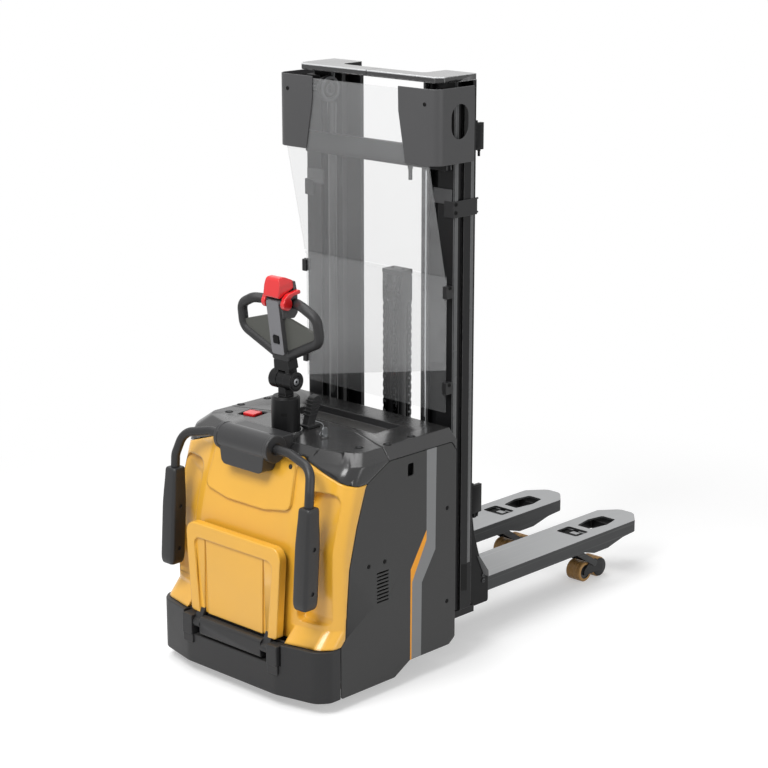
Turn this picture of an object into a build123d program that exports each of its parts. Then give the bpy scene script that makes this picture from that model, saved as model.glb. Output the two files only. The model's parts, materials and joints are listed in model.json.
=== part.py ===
from build123d import *
import os
from math import asin, cos, degrees, sin

os.makedirs("parts", exist_ok=True)

# Millimetres. x runs from the operator towards the fork tips with x = 0 at the front seam of the
# side panels, y runs to the left of the truck and z is the height above the floor. The saved
# pieces are shifted along x so that x = 0 is the middle of the truck.
truck_front = -138.0
truck_rear = 1872.0

# Clearances, and how far a cutting shape passes the face that it cuts
seam = 3.0
slide_gap = 0.4
swing_gap = 0.5
running = 0.05
working_gap = 4.0
overcut = 1.0

# Power unit shell
body_half = 414.5
cover_wall = 5.0
panel_low = 42.0
panel_step = 84.0
panel_toe = 262.0
panel_heel = 339.0
panel_rear = 573.0
panel_top = 832.0
panel_shoulder = 236.0
brow_drop = 58.0
crown_rise = 42.0
crown_inset = 36.0
skirt_top = 227.0
skirt_front = -129.0
skirt_wall = 8.0
skirt_ledge = 36.0
facet_back = 36.0
facet_half = 222.0
corner_back = 77.0
corner_in = 32.5
shield_half = 211.0
shield_taper = 15.0
bay_outer = 388.0
bay_floor = -14.0
bay_foot = 300.0
bay_rise = 86.0
dash_split = 324.0
dash_split_side = 230.0
tray_front = 338.0
tray_rear = 470.0
tray_left = 180.0
tray_right = -245.0
tray_depth = 26.0

# Openings in the side panels
slot_x = 340.0
slot_drop = 52.0
slot_width = 30.0
slot_height = 45.0
vent_x = 202.0
vent_low = 342.0
vent_pitch = 13.0
vent_count = 9
vent_length = 59.0
vent_height = 6.0
screw_radius = 9.0
screw_sink = 2.0

# Emergency stop, key and battery plug
stop_x = 225.0
stop_y = 250.0
stop_turn = 8.0
stop_cup = 76.0
stop_width = 52.0
stop_proud = 5.0
stop_thick = 11.0
stop_cup_depth = 16.0
stop_stem = 11.0
key_x = 190.0
key_y = -150.0
key_radius = 11.0
key_height = 34.0
plug_x = 245.0
plug_y = -20.0
plug_length = 50.0
plug_width = 40.0
plug_lip = 5.0
plug_depth = 66.0
lever_height = 112.0
lever_lean = 0.32
lever_flare = 0.44
lever_rib = 5.0
lever_pitch = 12.0

# Base frame
plate = 10.0
deck_top = 312.0
deck_plate = 12.0
standoff = 24.5
bulkhead = 276.0
floor_height = 95.0
rear_plate = 540.0
wall_drop = 40.0
rail_width = 24.0
rail_depth = 24.0
rail_side = 302.0
rail_low = 140.0
foot_width = 80.0
foot_reach = 40.0
foot_low = 110.0
foot_top = 130.0
battery_height = 592.0
battery_gap = 4.0
rest_in = 200.0
rest_out = 260.0

# Pump, tank and controller on the deck
tank_height = 200.0
tank_front = 60.0
tank_rear = 240.0
tank_in = 170.0
tank_out = 360.0
pump_y = 250.0
pump_radius = 62.0
pump_height = 230.0
controller_depth = 70.0
controller_half = 150.0
controller_height = 100.0

# Drive unit
steer_x = 150.0
drive_radius = 115.0
drive_width = 75.0
tyre_depth = 20.0
drive_shaft = 20.0
case_width = 40.0
case_gap = 6.0
neck_radius = 85.0
turret_radius = 100.0
motor_radius = 75.0
motor_height = 178.0
post_radius = 30.0
column_radius = 50.0
column_top = 1003.0
collar_wall = 10.0
nut_radius = 9.0
nut_circle = 46.0

# Tiller
hub_x = 152.0
hub_z = 1058.0
tiller_lean = 7.8
hub_radius = 34.0
hub_half = 52.0
knuckle_half = 18.0
tiller_pin = 12.0
neck_low = 38.0
neck_half = 34.0
neck_front = -14.0
neck_back = 32.0
neck_top = 74.0
loop_tube = 17.5
loop_bend = 40.0
loop_front = 12.0
loop_back = 22.0
yoke_half = 40.0
yoke_top = 112.0
spine_half = 30.0
spine_face = 9.0
spine_low = 98.0
spine_top = 292.0
infill_thick = 12.0
head_half = 38.0
belly_half = 37.0
stem_x = 34.0
stem_y = 20.0
stem_radius = 8.0
stem_low = 262.0
wing_x = 0.0
wing_z = 280.0
wing_radius = 21.0
wing_reach = 56.0
wing_shaft = 7.0
creep_z = 153.0
creep_half = 14.0
creep_height = 27.0

# Guard arms and pads
arm_x = -22.0
arm_drop = 3.0
arm_tube = 16.0
arm_bend = 62.0
arm_straight = 70.0
elbow_in = 18.0
elbow_drop = 25.0
elbow_back = 20.0
barrel_radius = 47.0
barrel_half = 130.0
arm_depth = 60.0
tongue_low = 87.0
tongue_half = 100.0
saddle_back = 27.0
pad_inset = 78.5
pad_drop = 149.0
pad_back = 47.0
pad_head = 46.0
pad_length = 350.0
pad_narrow = 50.0
pad_wide = 66.0
pad_foot = 58.0
pad_swell = 0.68
pad_round = 14.0
pad_lean = 3.8
dimple_radius = 8.0
dimple_depth = 5.0

# Folding platform and its hinge
platform_half = 240.0
platform_taper = 25.0
platform_base = 234.0
platform_height = 326.0
platform_thick = 34.0
platform_front = -112.0
platform_room = 2.0
dish_depth = 8.0
dish_border = 52.0
dish_side = 42.0
groove_y = 147.0
groove_depth = 6.0
mat_thick = 10.0
mat_border = 12.0
hinge_x = -118.0
hinge_z = 196.0
hinge_pin = 7.0
hinge_lug = 16.0
lug_width = 34.0
hinge_side = 215.0
hinge_width = 50.0
hinge_low = 118.0
hinge_top = 222.0
recess_low = 150.0
recess_back = -92.0
recess_room = 6.0

# Castors
castor_x = 100.0
castor_inset = 95.0
castor_radius = 50.0
castor_width = 36.0
castor_trail = 30.0
castor_axle = 8.0
kingpin = 12.0
kingpin_length = 52.0
castor_plate = 6.0
castor_room = 6.0
crown_front = 34.0
crown_back = 28.0

# Mast
mast_rear = 611.0
mast_half = 358.0
mast_depth = 110.0
mast_web = 14.0
mast_flange = 16.0
flange_reach = 58.0
groove_front = 18.0
groove_width = 34.0
groove_sink = 9.0
nest_shift = 24.0
nest_gap = 6.0
mast_top = 2040.0
bridge_gap = 24.0
bridge_thick = 22.0
bridge_rear = 552.0
bridge_half = 344.0
bridge_corner = 24.0
inner_reach = 68.0
inner_lift = 6.0
cross_bar_height = 44.0
upper_beam_drop = 200.0
upper_beam_height = 75.0
upper_beam_depth = 21.0
lower_beam_low = 540.0
lower_beam_high = 600.0
lower_beam_depth = 21.0
push_beam_low = 560.0
push_beam_half = 60.0
shoe_wall = 7.0
shoe_height = 80.0
shoe_heights = [300.0, 560.0]
top_roller_drop = 53.0
low_roller_rise = 56.0
guide_roller = 38.4
guide_width = 50.0
guide_axle = 14.0
guide_room = 44.0
cylinder_x = 614.5
cylinder_y = 228.0
cylinder_radius = 17.0
gland_height = 40.0
rod_radius = 12.0
rod_start = 420.0
cylinder_drop = 90.0
barrel_base = 14.0
initial_radius = 26.0
initial_bore = 20.0
initial_rod = 18.0
initial_base = 15.0
tower_x = 711.0
tower_radius = 33.0
tower_rod = 22.0
tower_top = 1230.0
tower_gland = 20.0
tower_rod_start = 300.0
head_low = 1250.0
head_block = 40.0
head_depth = 28.0
head_height = 96.0
head_wall = 8.0
head_side = 43.0
sheave_rise = 28.0
sheave_bolt = 9.0
sheave_radius = 33.0
chain_thick = 10.0
chain_width = 14.0
chain_side = 25.0

# Mast guard and its brackets
sheet = 5.0
sheet_half = 343.0
sheet_low = 916.0
sheet_join = 1390.0
sheet_lap = 14.0
sheet_bend_rise = 5.0
sheet_rise = 5.0
sheet_rear = 497.0
sheet_front = 590.0
sheet_play = 0.3
shroud_height = 258.0
shroud_rise = 8.0
shroud_half = 384.5
shroud_in = 206.0
shroud_slant = 34.0
shroud_end = 683.0
shroud_wall = 4.5
shroud_bend = 40.0
eye_x = 611.0
eye_rise = 142.0
eye_height = 119.0
eye_width = 87.0
bracket_x = 652.0
bracket_size = 24.0
bracket_rises = [10.0, 217.0]
strap_low = 1604.0
strap_high = 1662.0
strap_wall = 6.0
strap_reach = 40.0
clip_heights = [1005.0, 1346.0]
clip_half = 22.0
clip_wall = 10.0

# Lift frame, load wheels and push rods
initial_lift = 120.0
leg_gap = 9.0
leg_side_gap = 12.0
leg_height = 36.0
leg_wall = 8.0
leg_end = 1730.0
leg_open = 1380.0
leg_lap = 46.0
leg_ribs = [900.0, 1130.0, 1360.0]
sill_low = 136.0
sill_high = 163.0
sill_rear = 596.0
sill_front = 747.0
sill_inset = 6.0
sill_room = 20.0
bogie_x = 1606.0
bogie_pin_z = 70.0
bogie_pin = 8.0
bogie_reach = 58.0
bogie_low = 28.0
bogie_high = 48.0
bogie_plate = 5.5
roller_radius = 40.0
roller_width = 68.0
roller_pitch = 86.0
roller_axle = 10.0
arm_length = 200.0
arm_plate = 8.0
arm_height = 24.0
pivot_pin = 8.0
pivot_wall = 5.0
lever = 20.0
lever_pin = 4.0
lever_side = 3.0
rod_width = 20.0
rod_height = 18.0
rod_rise = 8.0
rod_back = 34.0
rod_stem = 16.0
rod_head = 6.0

# Carriage and forks
fork_centre = 191.0
fork_width = 190.0
fork_top = 213.0
fork_plate = 8.0
fork_low = 157.0
fork_heel = 786.0
fork_nose = 75.0
shank_top = 430.0
shank_thick = 20.0
shank_inset = 20.0
brace_length = 60.0
brace_height = 110.0
brace_thick = 12.0
carriage_low = 206.0
carriage_high = 560.0
carriage_plate = 16.0
carriage_beam = 94.0
carriage_rail = 80.0
roller_plate = 20.0
gusset_outer = 326.0
gusset_front = 856.0
gusset_gap = 9.0
gusset_foot = 140.0
anchor_half = 40.0
anchor_thick = 24.0

# Sizes that follow from the values above
middle = (truck_front + truck_rear) / 2
crown = panel_top + crown_rise
panel_brow = panel_top - brow_drop
frame_half = body_half - cover_wall - standoff
pad_y = body_half - pad_inset
castor_y = frame_half - castor_inset
arm_z = crown - arm_drop
pad_top = arm_z - pad_drop
wall_top = panel_top - wall_drop
slot_z = panel_top - slot_drop
outer_front = mast_rear + mast_depth
inner_rear = mast_rear + nest_shift
inner_front = inner_rear + mast_depth
outer_web_in = mast_half - mast_web
outer_tip = outer_web_in - flange_reach
inner_out = outer_web_in - nest_gap
inner_web_out = outer_tip - working_gap
inner_web_in = inner_web_out - mast_web
inner_tip = inner_web_in - inner_reach
channel_x = inner_rear + mast_depth / 2
outer_channel_x = mast_rear + mast_depth / 2
leg_top = fork_top - fork_plate - leg_gap
leg_low = leg_top - leg_height
leg_half = fork_width / 2 - fork_plate - leg_side_gap
pivot_z = (leg_top + leg_low) / 2
arm_raised = asin((pivot_z - bogie_pin_z) / arm_length)
arm_lowered = asin((pivot_z - initial_lift - bogie_pin_z) / arm_length)
arm_swing = arm_raised - arm_lowered
pivot_x = bogie_x - arm_length * cos(arm_raised)
deck_low = deck_top - deck_plate
rail_front = rear_plate + plate
foot_x = (rail_front + mast_rear + plate) / 2 + rail_depth
inner_low = leg_top + inner_lift
tower_low = inner_low + cross_bar_height
sheave_z = head_low + head_block + sheave_rise
bridge_low = mast_top + bridge_gap
upper_beam_high = mast_top - upper_beam_drop
upper_beam_low = upper_beam_high - upper_beam_height
top_roller_z = mast_top - top_roller_drop
cylinder_top = mast_top - cylinder_drop
sheet_top = mast_top + sheet_rise
shroud_top = sheet_top + shroud_rise
shroud_low = shroud_top - shroud_height
sheet_bend = shroud_low + sheet_bend_rise
eye_z = shroud_low + eye_rise

# Front profile of the cover: height and distance of the front face
cover_foot = (skirt_top + seam, -112.0)
cover_waist = (285.0, -62.0)
cover_seat = (560.0, -58.0)
cover_chest = (664.0, -33.0)
cover_shoulder = (panel_top - 23, 12.0)
cover_brow = (panel_top + 6, 32.0)
cover_crown = (crown, 75.0)
shield_foot = (640.0, -52.0)
shield_head = (panel_top + 2, 8.0)


def span(x0, x1, y0, y1, z0, z1):
    """Block between two corners."""
    return Pos((x0 + x1) / 2, (y0 + y1) / 2, (z0 + z1) / 2) * Box(x1 - x0, y1 - y0, z1 - z0)


def around(x, y, length, width, z0, z1):
    """Upright block with its middle at x and y."""
    return span(x - length / 2, x + length / 2, y - width / 2, y + width / 2, z0, z1)


def outline(corners):
    """Closed face through corners given by two places and, where it is rounded, a radius."""
    points = [corner[:2] for corner in corners]
    radii = [corner[2] if len(corner) > 2 else 0 for corner in corners]
    if not any(radii):
        return make_face(Polyline(*points, close=True))
    return make_face(FilletPolyline(*points, radius=radii, close=True))


def plan_face(side):
    """Face drawn in x and y, the same on both sides of the truck, from the corners of its left side."""
    return outline(side + [(x, -y, *radius) for x, y, *radius in reversed(side)])


def front_face(side):
    """Face drawn in y and z, the same on both sides of the truck, from the corners of its left side."""
    return outline(side + [(-y, z, *radius) for y, z, *radius in reversed(side)])


def along_x(face, x0, x1):
    """Face drawn in y and z, made solid from x0 to x1."""
    return extrude(Plane.YZ.offset(x0) * face, x1 - x0)


def along_y(face, y0, y1):
    """Face drawn in x and z, made solid from y0 to y1."""
    return extrude(Plane.XZ.offset(-y1) * face, y1 - y0)


def along_z(face, z0, z1):
    """Face drawn in x and y, made solid from z0 to z1."""
    return extrude(Plane.XY.offset(z0) * face, z1 - z0)


def bar_y(x, z, radius, y0, y1):
    """Round bar across the truck."""
    return along_y(Pos(x, z) * Circle(radius), y0, y1)


def bar_z(x, y, radius, z0, z1):
    """Upright round bar."""
    return along_z(Pos(x, y) * Circle(radius), z0, z1)


def tube(path, radius):
    """Round bar that follows a path."""
    return sweep(Plane(path @ 0, z_dir=path % 0) * Circle(radius), path=path)


def opposite(shape):
    """The same piece on the other side of the truck."""
    return mirror(shape, about=Plane.XZ)


def both(shape):
    """A piece and its mirror image in one."""
    return shape + opposite(shape)


def total(shapes):
    """Several shapes joined into one."""
    joined = shapes[0]
    for shape in shapes[1:]:
        joined = joined + shape
    return joined


def save(name, *shapes):
    """Write one node with x = 0 moved to the middle of the truck."""
    solids = [solid for shape in shapes for solid in shape.solids()]
    node = solids[0] if len(solids) == 1 else Compound(solids)
    export_step(Pos(-middle, 0, 0) * node, f"parts/{name}.step")


# Body shell: one hood over the power unit, shared by the cover, the dashboard and the lid
def hood_face(front, half, rear):
    """Plan of the hood: bowed front, faceted corners and straight sides."""
    return plan_face([
        (rear, half), (front + corner_back, half, 40), (front + facet_back, half - corner_in, 60),
        (front, facet_half, 120),
    ])


def hood(inset, foot, top):
    """Lofted hood, with every face moved inwards by the inset."""
    levels = [(foot, cover_foot[1]), cover_waist, cover_seat, cover_chest, cover_shoulder, cover_brow]
    faces = [
        Plane.XY.offset(z) * hood_face(front + inset, body_half - inset, panel_rear - inset)
        for z, front in levels
    ]
    crown_half = body_half - crown_inset - inset
    last = hood_face(cover_crown[1] + inset, crown_half, panel_rear - inset)
    return loft(faces + [Plane.XY.offset(top) * last], ruled=True)


panel_face = outline([
    (0, panel_low, 8), (panel_toe, panel_low, 20), (panel_heel, panel_step, 20),
    (panel_rear - 31, panel_step, 20), (panel_rear, panel_step + 22, 15), (panel_rear, panel_top - 34, 20),
    (panel_rear - 24, panel_top, 20), (panel_shoulder, panel_top, 40), (125, panel_brow, 40), (77, 628, 40),
    (43, 495, 40), (22, 251, 4), (0, skirt_top, 2),
])
hood_outer = hood(0, cover_foot[0], crown)
hood_inner = hood(cover_wall, cover_foot[0] - seam, crown - cover_wall)
panel_room = offset(panel_face, seam, kind=Kind.INTERSECTION)
panel_prism = along_y(panel_room, -2 * body_half, 2 * body_half)

# Barrel housing of the guard arms, seated on the hood
saddle_end = steer_x - column_radius - saddle_back
tongue_face = front_face([(tongue_half, arm_z - tongue_low, 24), (tongue_half + 12, arm_z)])
tongue = along_x(tongue_face, arm_x - barrel_radius + 8, saddle_end)
saddle_half = barrel_half - 12
saddle = span(arm_x, saddle_end, -saddle_half, saddle_half, arm_z - 20, arm_z + 34)
housing = bar_y(arm_x, arm_z, barrel_radius, -barrel_half, barrel_half) + tongue + saddle
arm_bore = bar_y(arm_x, arm_z, arm_tube + slide_gap, barrel_half - arm_depth, barrel_half + overcut)
save("arm_housing", housing - hood_outer - both(arm_bore))

# Yellow front cover with a raised shield, bays behind the pads and a bay behind the platform
shield_depth = 2 * corner_back
shield_side = outline([
    shield_foot[::-1], (shield_foot[1] + shield_depth, shield_foot[0]),
    (shield_head[1] + shield_depth, shield_head[0]), shield_head[::-1],
])
shield_front = front_face([
    (shield_half - shield_taper, shield_head[0], 10), (shield_half, cover_chest[0] + 12, 25),
    (96, cover_chest[0] - 10, 200),
])
shield = along_y(shield_side, -shield_half, shield_half) & along_x(shield_front, skirt_front, shield_depth)
far_front = 2 * skirt_front
bay_half = platform_half + 8
bay_low = skirt_top - seam
bay_high = platform_base + platform_height + 12
bay_back = cover_waist[1] + platform_room
bay_in = bay_half + 8
bay_top = cover_chest[0] + bay_rise
bay_side = outline([
    (far_front, bay_foot), (bay_floor, bay_foot, 28), (bay_floor + 2, cover_seat[0], 60),
    (bay_floor + 28, cover_chest[0], 60), (bay_floor + 54, bay_top), (far_front, bay_top),
])
bay_front = outline([
    (bay_in, bay_foot, 24), (bay_outer, bay_foot, 24), (bay_outer, bay_top, 40), (bay_in, bay_top, 40),
])
pad_bay = along_y(bay_side, bay_in, bay_outer) & along_x(bay_front, far_front, corner_back)
bay_shell = along_y(offset(bay_side, cover_wall), bay_in - cover_wall, bay_outer + cover_wall)
pad_bay_wall = bay_shell & along_x(offset(bay_front, cover_wall), far_front, corner_back)
platform_bay = span(far_front, bay_back, -bay_half, bay_half, bay_low, bay_high)
platform_bay_wall = span(far_front, bay_back + cover_wall, -bay_half - cover_wall, bay_half + cover_wall,
                         bay_low, bay_high + cover_wall)
cover_outer = hood_outer + shield - both(pad_bay) - platform_bay
cover_inner = hood_inner - both(pad_bay_wall) - platform_bay_wall
cover_below = front_face([
    (2 * body_half, 0), (2 * body_half, panel_brow - 137), (body_half, panel_brow), (200, cover_brow[0] + 7),
])
cover_zone = along_x(cover_below, far_front, dash_split_side)
top_zone = along_x(offset(cover_below, seam, kind=Kind.INTERSECTION), far_front, dash_split_side)
save("front_cover", ((cover_outer - cover_inner) & cover_zone) - panel_prism - housing)

# Dashboard cover and battery lid
hood_top = (hood_outer - hood_inner) - top_zone - panel_prism - housing


def split_zone(shift):
    """Everything on the operator's side of the lid seam."""
    wide = body_half + seam
    return along_z(plan_face([
        (far_front, wide), (dash_split_side + shift, wide), (dash_split_side + 13 + shift, 353),
        (dash_split + shift, 139),
    ]), 0, 2 * crown)


stop_place = Pos(stop_x, stop_y, crown) * Rot(0, 0, stop_turn)
cup_cut = stop_place * Box(stop_cup, stop_cup, 2 * stop_cup_depth)
cup_outer = stop_cup + 2 * cover_wall
cup_height = stop_cup_depth + cover_wall
cup = stop_place * Pos(0, 0, -cup_height / 2) * Box(cup_outer, cup_outer, cup_height)
stop_bore = bar_z(stop_x, stop_y, stop_stem + slide_gap, crown - 2 * stop_cup_depth, crown)
key_barrel = bar_z(key_x, key_y, key_radius + 8, crown - 22, crown + 4)
key_bore = bar_z(key_x, key_y, key_radius + slide_gap, crown - 18, crown + 5)
collar = bar_z(steer_x, 0, column_radius + collar_wall, crown - cover_wall, crown + 8)
column_bore = bar_z(steer_x, 0, column_radius + seam, crown - 30, crown + 30)
plug_bore = around(plug_x, plug_y, plug_length + 2 * slide_gap, plug_width + 2 * slide_gap,
                   crown - plug_depth - working_gap, crown + overcut)
plug_socket = around(plug_x, plug_y, plug_length + 2 * cover_wall, plug_width + 2 * cover_wall,
                     crown - 60, crown)
dash = total([hood_top & split_zone(0), cup - cup_cut, key_barrel, collar, plug_socket])
save("dashboard_cover", dash - cup_cut - stop_bore - key_bore - column_bore - plug_bore)

tray_hole = span(tray_front, tray_rear, tray_right, tray_left, crown - tray_depth, crown + tray_depth)
tray_pan = span(tray_front - cover_wall, tray_rear + cover_wall, tray_right - cover_wall,
                tray_left + cover_wall, crown - tray_depth - cover_wall, crown)
tray_seat = span(tray_front - cover_wall - slide_gap, tray_rear + cover_wall + slide_gap,
                 tray_right - cover_wall - slide_gap, tray_left + cover_wall + slide_gap, 0, 2 * crown)
save("battery_lid", hood_top - split_zone(seam) - tray_seat, tray_pan - tray_hole)

# Emergency stop button, key and battery plug with its leaning lever
button = stop_place * Pos(0, 0, stop_proud - stop_thick / 2) * Box(stop_width, stop_width, stop_thick)
button = fillet(button.edges().filter_by(Axis.Z), 8)
stem = bar_z(stop_x, stop_y, stop_stem, crown - 2 * stop_cup_depth - working_gap, crown)
save("emergency_stop_button", button + stem)

key_grip = span(key_x - 12, key_x + 12, key_y - 3, key_y + 3, crown + 4, crown + key_height)
key_grip = fillet(key_grip.edges().filter_by(Axis.Y), 8)
save("ignition_key", bar_z(key_x, key_y, key_radius, crown - 16, crown + 8) + key_grip)

plug_body = around(plug_x, plug_y, plug_length, plug_width, crown - plug_depth, crown + plug_lip)
plug_flange = around(plug_x, plug_y, plug_length + 2 * plug_lip, plug_width + 2 * plug_lip,
                     crown + slide_gap, crown + 2 * plug_lip)
lever_low = plug_lip
lever_front = plug_x - plug_length / 2
lever_rear = plug_x + 8
lever_half = plug_width / 2 - 6
plug_lever = along_y(outline([
    (lever_front, crown + lever_low), (lever_rear, crown + lever_low),
    (lever_rear + lever_flare * 88, crown + 92, 12), (lever_front + 65, crown + lever_height, 12),
    (lever_front + lever_lean * 100, crown + lever_height - 8, 12),
]), plug_y - lever_half, plug_y + lever_half)
ribs = []
for i in range(5):
    z = 42 + lever_pitch * i
    ribs.append(span(lever_front + lever_lean * z - 6, lever_rear + lever_flare * z - 4,
                     plug_y - lever_half - 3, plug_y + lever_half + 3, crown + z, crown + z + lever_rib))
save("battery_plug", total([plug_body, plug_flange, plug_lever] + ribs))

# Side panels, screwed to the standoffs of the base frame
screw_places = [(528, 597), (530, 251)]
dimple_places = [(134, 482), (212, 481)]
panel = along_y(panel_face, body_half - cover_wall, body_half)
for x, z in screw_places + dimple_places:
    panel = panel - bar_y(x, z, screw_radius, body_half - screw_sink, body_half)
slot = Pos(slot_x, slot_z) * RectangleRounded(slot_width, slot_height, 7)
panel = panel - along_y(slot, body_half - cover_wall, body_half)
for i in range(vent_count):
    slit = Pos(vent_x, vent_low + vent_pitch * i) * SlotOverall(vent_length, vent_height)
    panel = panel - along_y(slit, body_half - cover_wall, body_half)
save("side_panel_left", panel)
save("side_panel_right", opposite(panel))

# Bumper skirt with a recess for the platform hinge
recess_half = platform_half + recess_room
skirt_face = hood_face(skirt_front, body_half, panel_rear)
skirt_solid = along_z(skirt_face, panel_low, skirt_top)
skirt_core = along_z(offset(skirt_face, -skirt_wall, kind=Kind.INTERSECTION), 0, skirt_top - skirt_wall)
ledge_core = along_z(offset(skirt_face, -skirt_ledge, kind=Kind.INTERSECTION), 0, 2 * skirt_top)
recess = span(far_front, recess_back, -recess_half, recess_half, recess_low, 2 * skirt_top)
recess_box = span(skirt_front, recess_back + skirt_wall, -recess_half - skirt_wall, recess_half + skirt_wall,
                  recess_low - skirt_wall, skirt_top)
skirt = skirt_solid - skirt_core - ledge_core + (recess_box & skirt_solid) - recess
save("bumper_skirt", skirt - span(-seam, 2 * panel_rear, -2 * body_half, 2 * body_half, 0, 2 * skirt_top))

# Platform hinge: two blocks with pins, and a cover between the lugs of the platform
hinge_in = hinge_side - hinge_width / 2
hinge_block = span(truck_front, recess_back, hinge_in, hinge_in + hinge_width, hinge_low, hinge_top)
hinge_block = hinge_block - span(far_front, hinge_x - hinge_lug, 0, 2 * body_half, 0, recess_low)
hinge_block = hinge_block - span(skirt_front, 0, 0, 2 * body_half, 0, recess_low)
lug_high = hinge_in - swing_gap
lug_low = lug_high - lug_width
hinge_pins = bar_y(hinge_x, hinge_z, hinge_pin, lug_low - working_gap, hinge_side)
hinge_cover = along_y(outline([
    (hinge_x - 14, hinge_z - 38, 10), (recess_back - working_gap, hinge_z - 38, 6),
    (recess_back - working_gap, hinge_z + 28, 10), (hinge_x - 14, hinge_z + 28, 14),
]), swing_gap - lug_low, lug_low - swing_gap)
save("platform_hinge_covers", both(hinge_block + hinge_pins) + hinge_cover)

# Folding platform, shown folded up
plate_back = platform_front + platform_thick
platform_top = platform_base + platform_height
platform_foot = platform_half - platform_taper
platform_face = front_face([(platform_foot, platform_base, 12), (platform_half, platform_top, 42)])
dish_face = front_face([
    (platform_foot - dish_side, platform_base - overcut),
    (platform_half - dish_side, platform_top - dish_border, 26),
])
groove_floor = platform_front + dish_depth + groove_depth
groove_face = front_face([(9, platform_base - overcut), (2, platform_top - dish_border)])
grooves = [along_x(Pos(y, 0) * groove_face, platform_front, groove_floor) for y in (-groove_y, groove_y)]
lug_side = outline([
    (hinge_x - hinge_lug + 4, hinge_z), (hinge_x + hinge_lug - 4, hinge_z),
    (plate_back - 14, platform_base + 20), (platform_front + dish_depth + 2, platform_base + 20),
])
lug = bar_y(hinge_x, hinge_z, hinge_lug, lug_low, lug_high) + along_y(lug_side, lug_low, lug_high)
lug = lug - bar_y(hinge_x, hinge_z, hinge_pin + running, lug_low - overcut, lug_high + overcut)
platform = along_x(platform_face, platform_front, plate_back)
platform = platform - along_x(dish_face, platform_front, platform_front + dish_depth) - total(grooves)
save("platform_plate", platform + both(lug))
mat_face = front_face([
    (platform_foot - mat_border, platform_base + mat_border, 10),
    (platform_half - mat_border, platform_top - mat_border, 32),
])
save("platform_mat", along_x(mat_face, plate_back, plate_back + mat_thick))

# Guard arms and their grip pads
pad_axis = Pos(arm_x - pad_back, pad_y, pad_top) * Rot(0, pad_lean, 0)
arm_head = (pad_axis * Pos(0, 0, pad_head)).position
arm_path = FilletPolyline(
    (arm_x, barrel_half - arm_depth + 2, arm_z), (arm_x, barrel_half + arm_straight, arm_z),
    (arm_x - elbow_back, pad_y - elbow_in, arm_z - elbow_drop), tuple(arm_head), tuple(pad_axis.position),
    radius=arm_bend)
guard_arm = tube(arm_path, arm_tube)
save("guard_arm_left", guard_arm)
save("guard_arm_right", opposite(guard_arm))
pad_sections = [(0, pad_narrow), (pad_length * pad_swell, pad_wide), (pad_length, pad_foot)]
pad_block = loft([
    Plane.XY.offset(-depth) * RectangleRounded(width, width, pad_round) for depth, width in pad_sections
], ruled=True)
for share in (0.39, 0.83):
    for side in (-1, 1):
        dimple = Pos(0, side * pad_wide / 2, -share * pad_length) * Rot(90, 0, 0)
        pad_block = pad_block - dimple * Cylinder(dimple_radius, 2 * dimple_depth)
guard_pad = pad_axis * pad_block
save("guard_pad_left", guard_pad)
save("guard_pad_right", opposite(guard_pad))

# Base frame: deck, bulkhead, battery tray, rear plate, guide rails and castor posts
deck_front = bay_back + cover_wall + slide_gap
deck_nose = facet_half - 22
deck_corner = pad_y - 76
deck_face = plan_face([
    (deck_front, deck_nose), (0, deck_corner), (24, frame_half), (bulkhead + plate, frame_half),
])
deck = along_z(deck_face, deck_low, deck_top)
deck = deck - bar_z(steer_x, 0, neck_radius + slide_gap, deck_low - overcut, deck_top + overcut)
front_beam = span(deck_front, deck_front + plate, -facet_half, facet_half, recess_low, deck_low)
skirt_stay = span(recess_back + skirt_wall, deck_front, -hinge_side, hinge_side, hinge_z - plate, hinge_z)
battery_box = span(bulkhead, rail_front, -frame_half, frame_half, floor_height, wall_top)
battery_room = span(bulkhead + plate, rear_plate, plate - frame_half, frame_half - plate,
                    floor_height + plate, 2 * crown)
rail = span(rail_front, rail_front + rail_depth, rail_side - rail_width / 2, rail_side + rail_width / 2,
            rail_low, wall_top)
foot = span(rail_front, foot_x + foot_reach, -foot_width / 2, foot_width / 2, foot_low, foot_top)
post_low = 2 * (castor_radius + castor_plate) + castor_room
post = bar_z(castor_x, castor_y, 2 * kingpin + 4, post_low, deck_low)
kingpin_top = post_low + kingpin_length
post = post - bar_z(castor_x, castor_y, kingpin + running, post_low - overcut, kingpin_top + working_gap)
standoffs = [bar_y(x, z, 14, frame_half, body_half - cover_wall) for x, z in screw_places]
lid_rest = span(rear_plate, rail_front, rest_in, rest_out, wall_top, crown - cover_wall - slide_gap)
sides = [both(piece) for piece in [rail, post, lid_rest] + standoffs]
save("base_frame", total([deck, front_beam, skirt_stay, battery_box - battery_room, foot] + sides))

battery_half = frame_half - plate - battery_gap
battery = span(bulkhead + plate + battery_gap, rear_plate - battery_gap, -battery_half, battery_half,
               floor_height + plate, floor_height + plate + battery_height)
save("battery_pack", battery)
tank = span(tank_front, tank_rear, -tank_out, -tank_in, deck_top, deck_top + tank_height)
tank = fillet(tank.edges().filter_by(Axis.Z), 12)
pump_top = deck_top + pump_height
pump = bar_z(steer_x, pump_y, pump_radius, deck_top, pump_top)
pump_block = around(steer_x, pump_y, 100, 90, pump_top, pump_top + 45)
controller = span(bulkhead - controller_depth, bulkhead, -controller_half, controller_half,
                  pump_top, pump_top + controller_height)
save("pump_and_controller", tank, pump + pump_block, controller)

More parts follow.
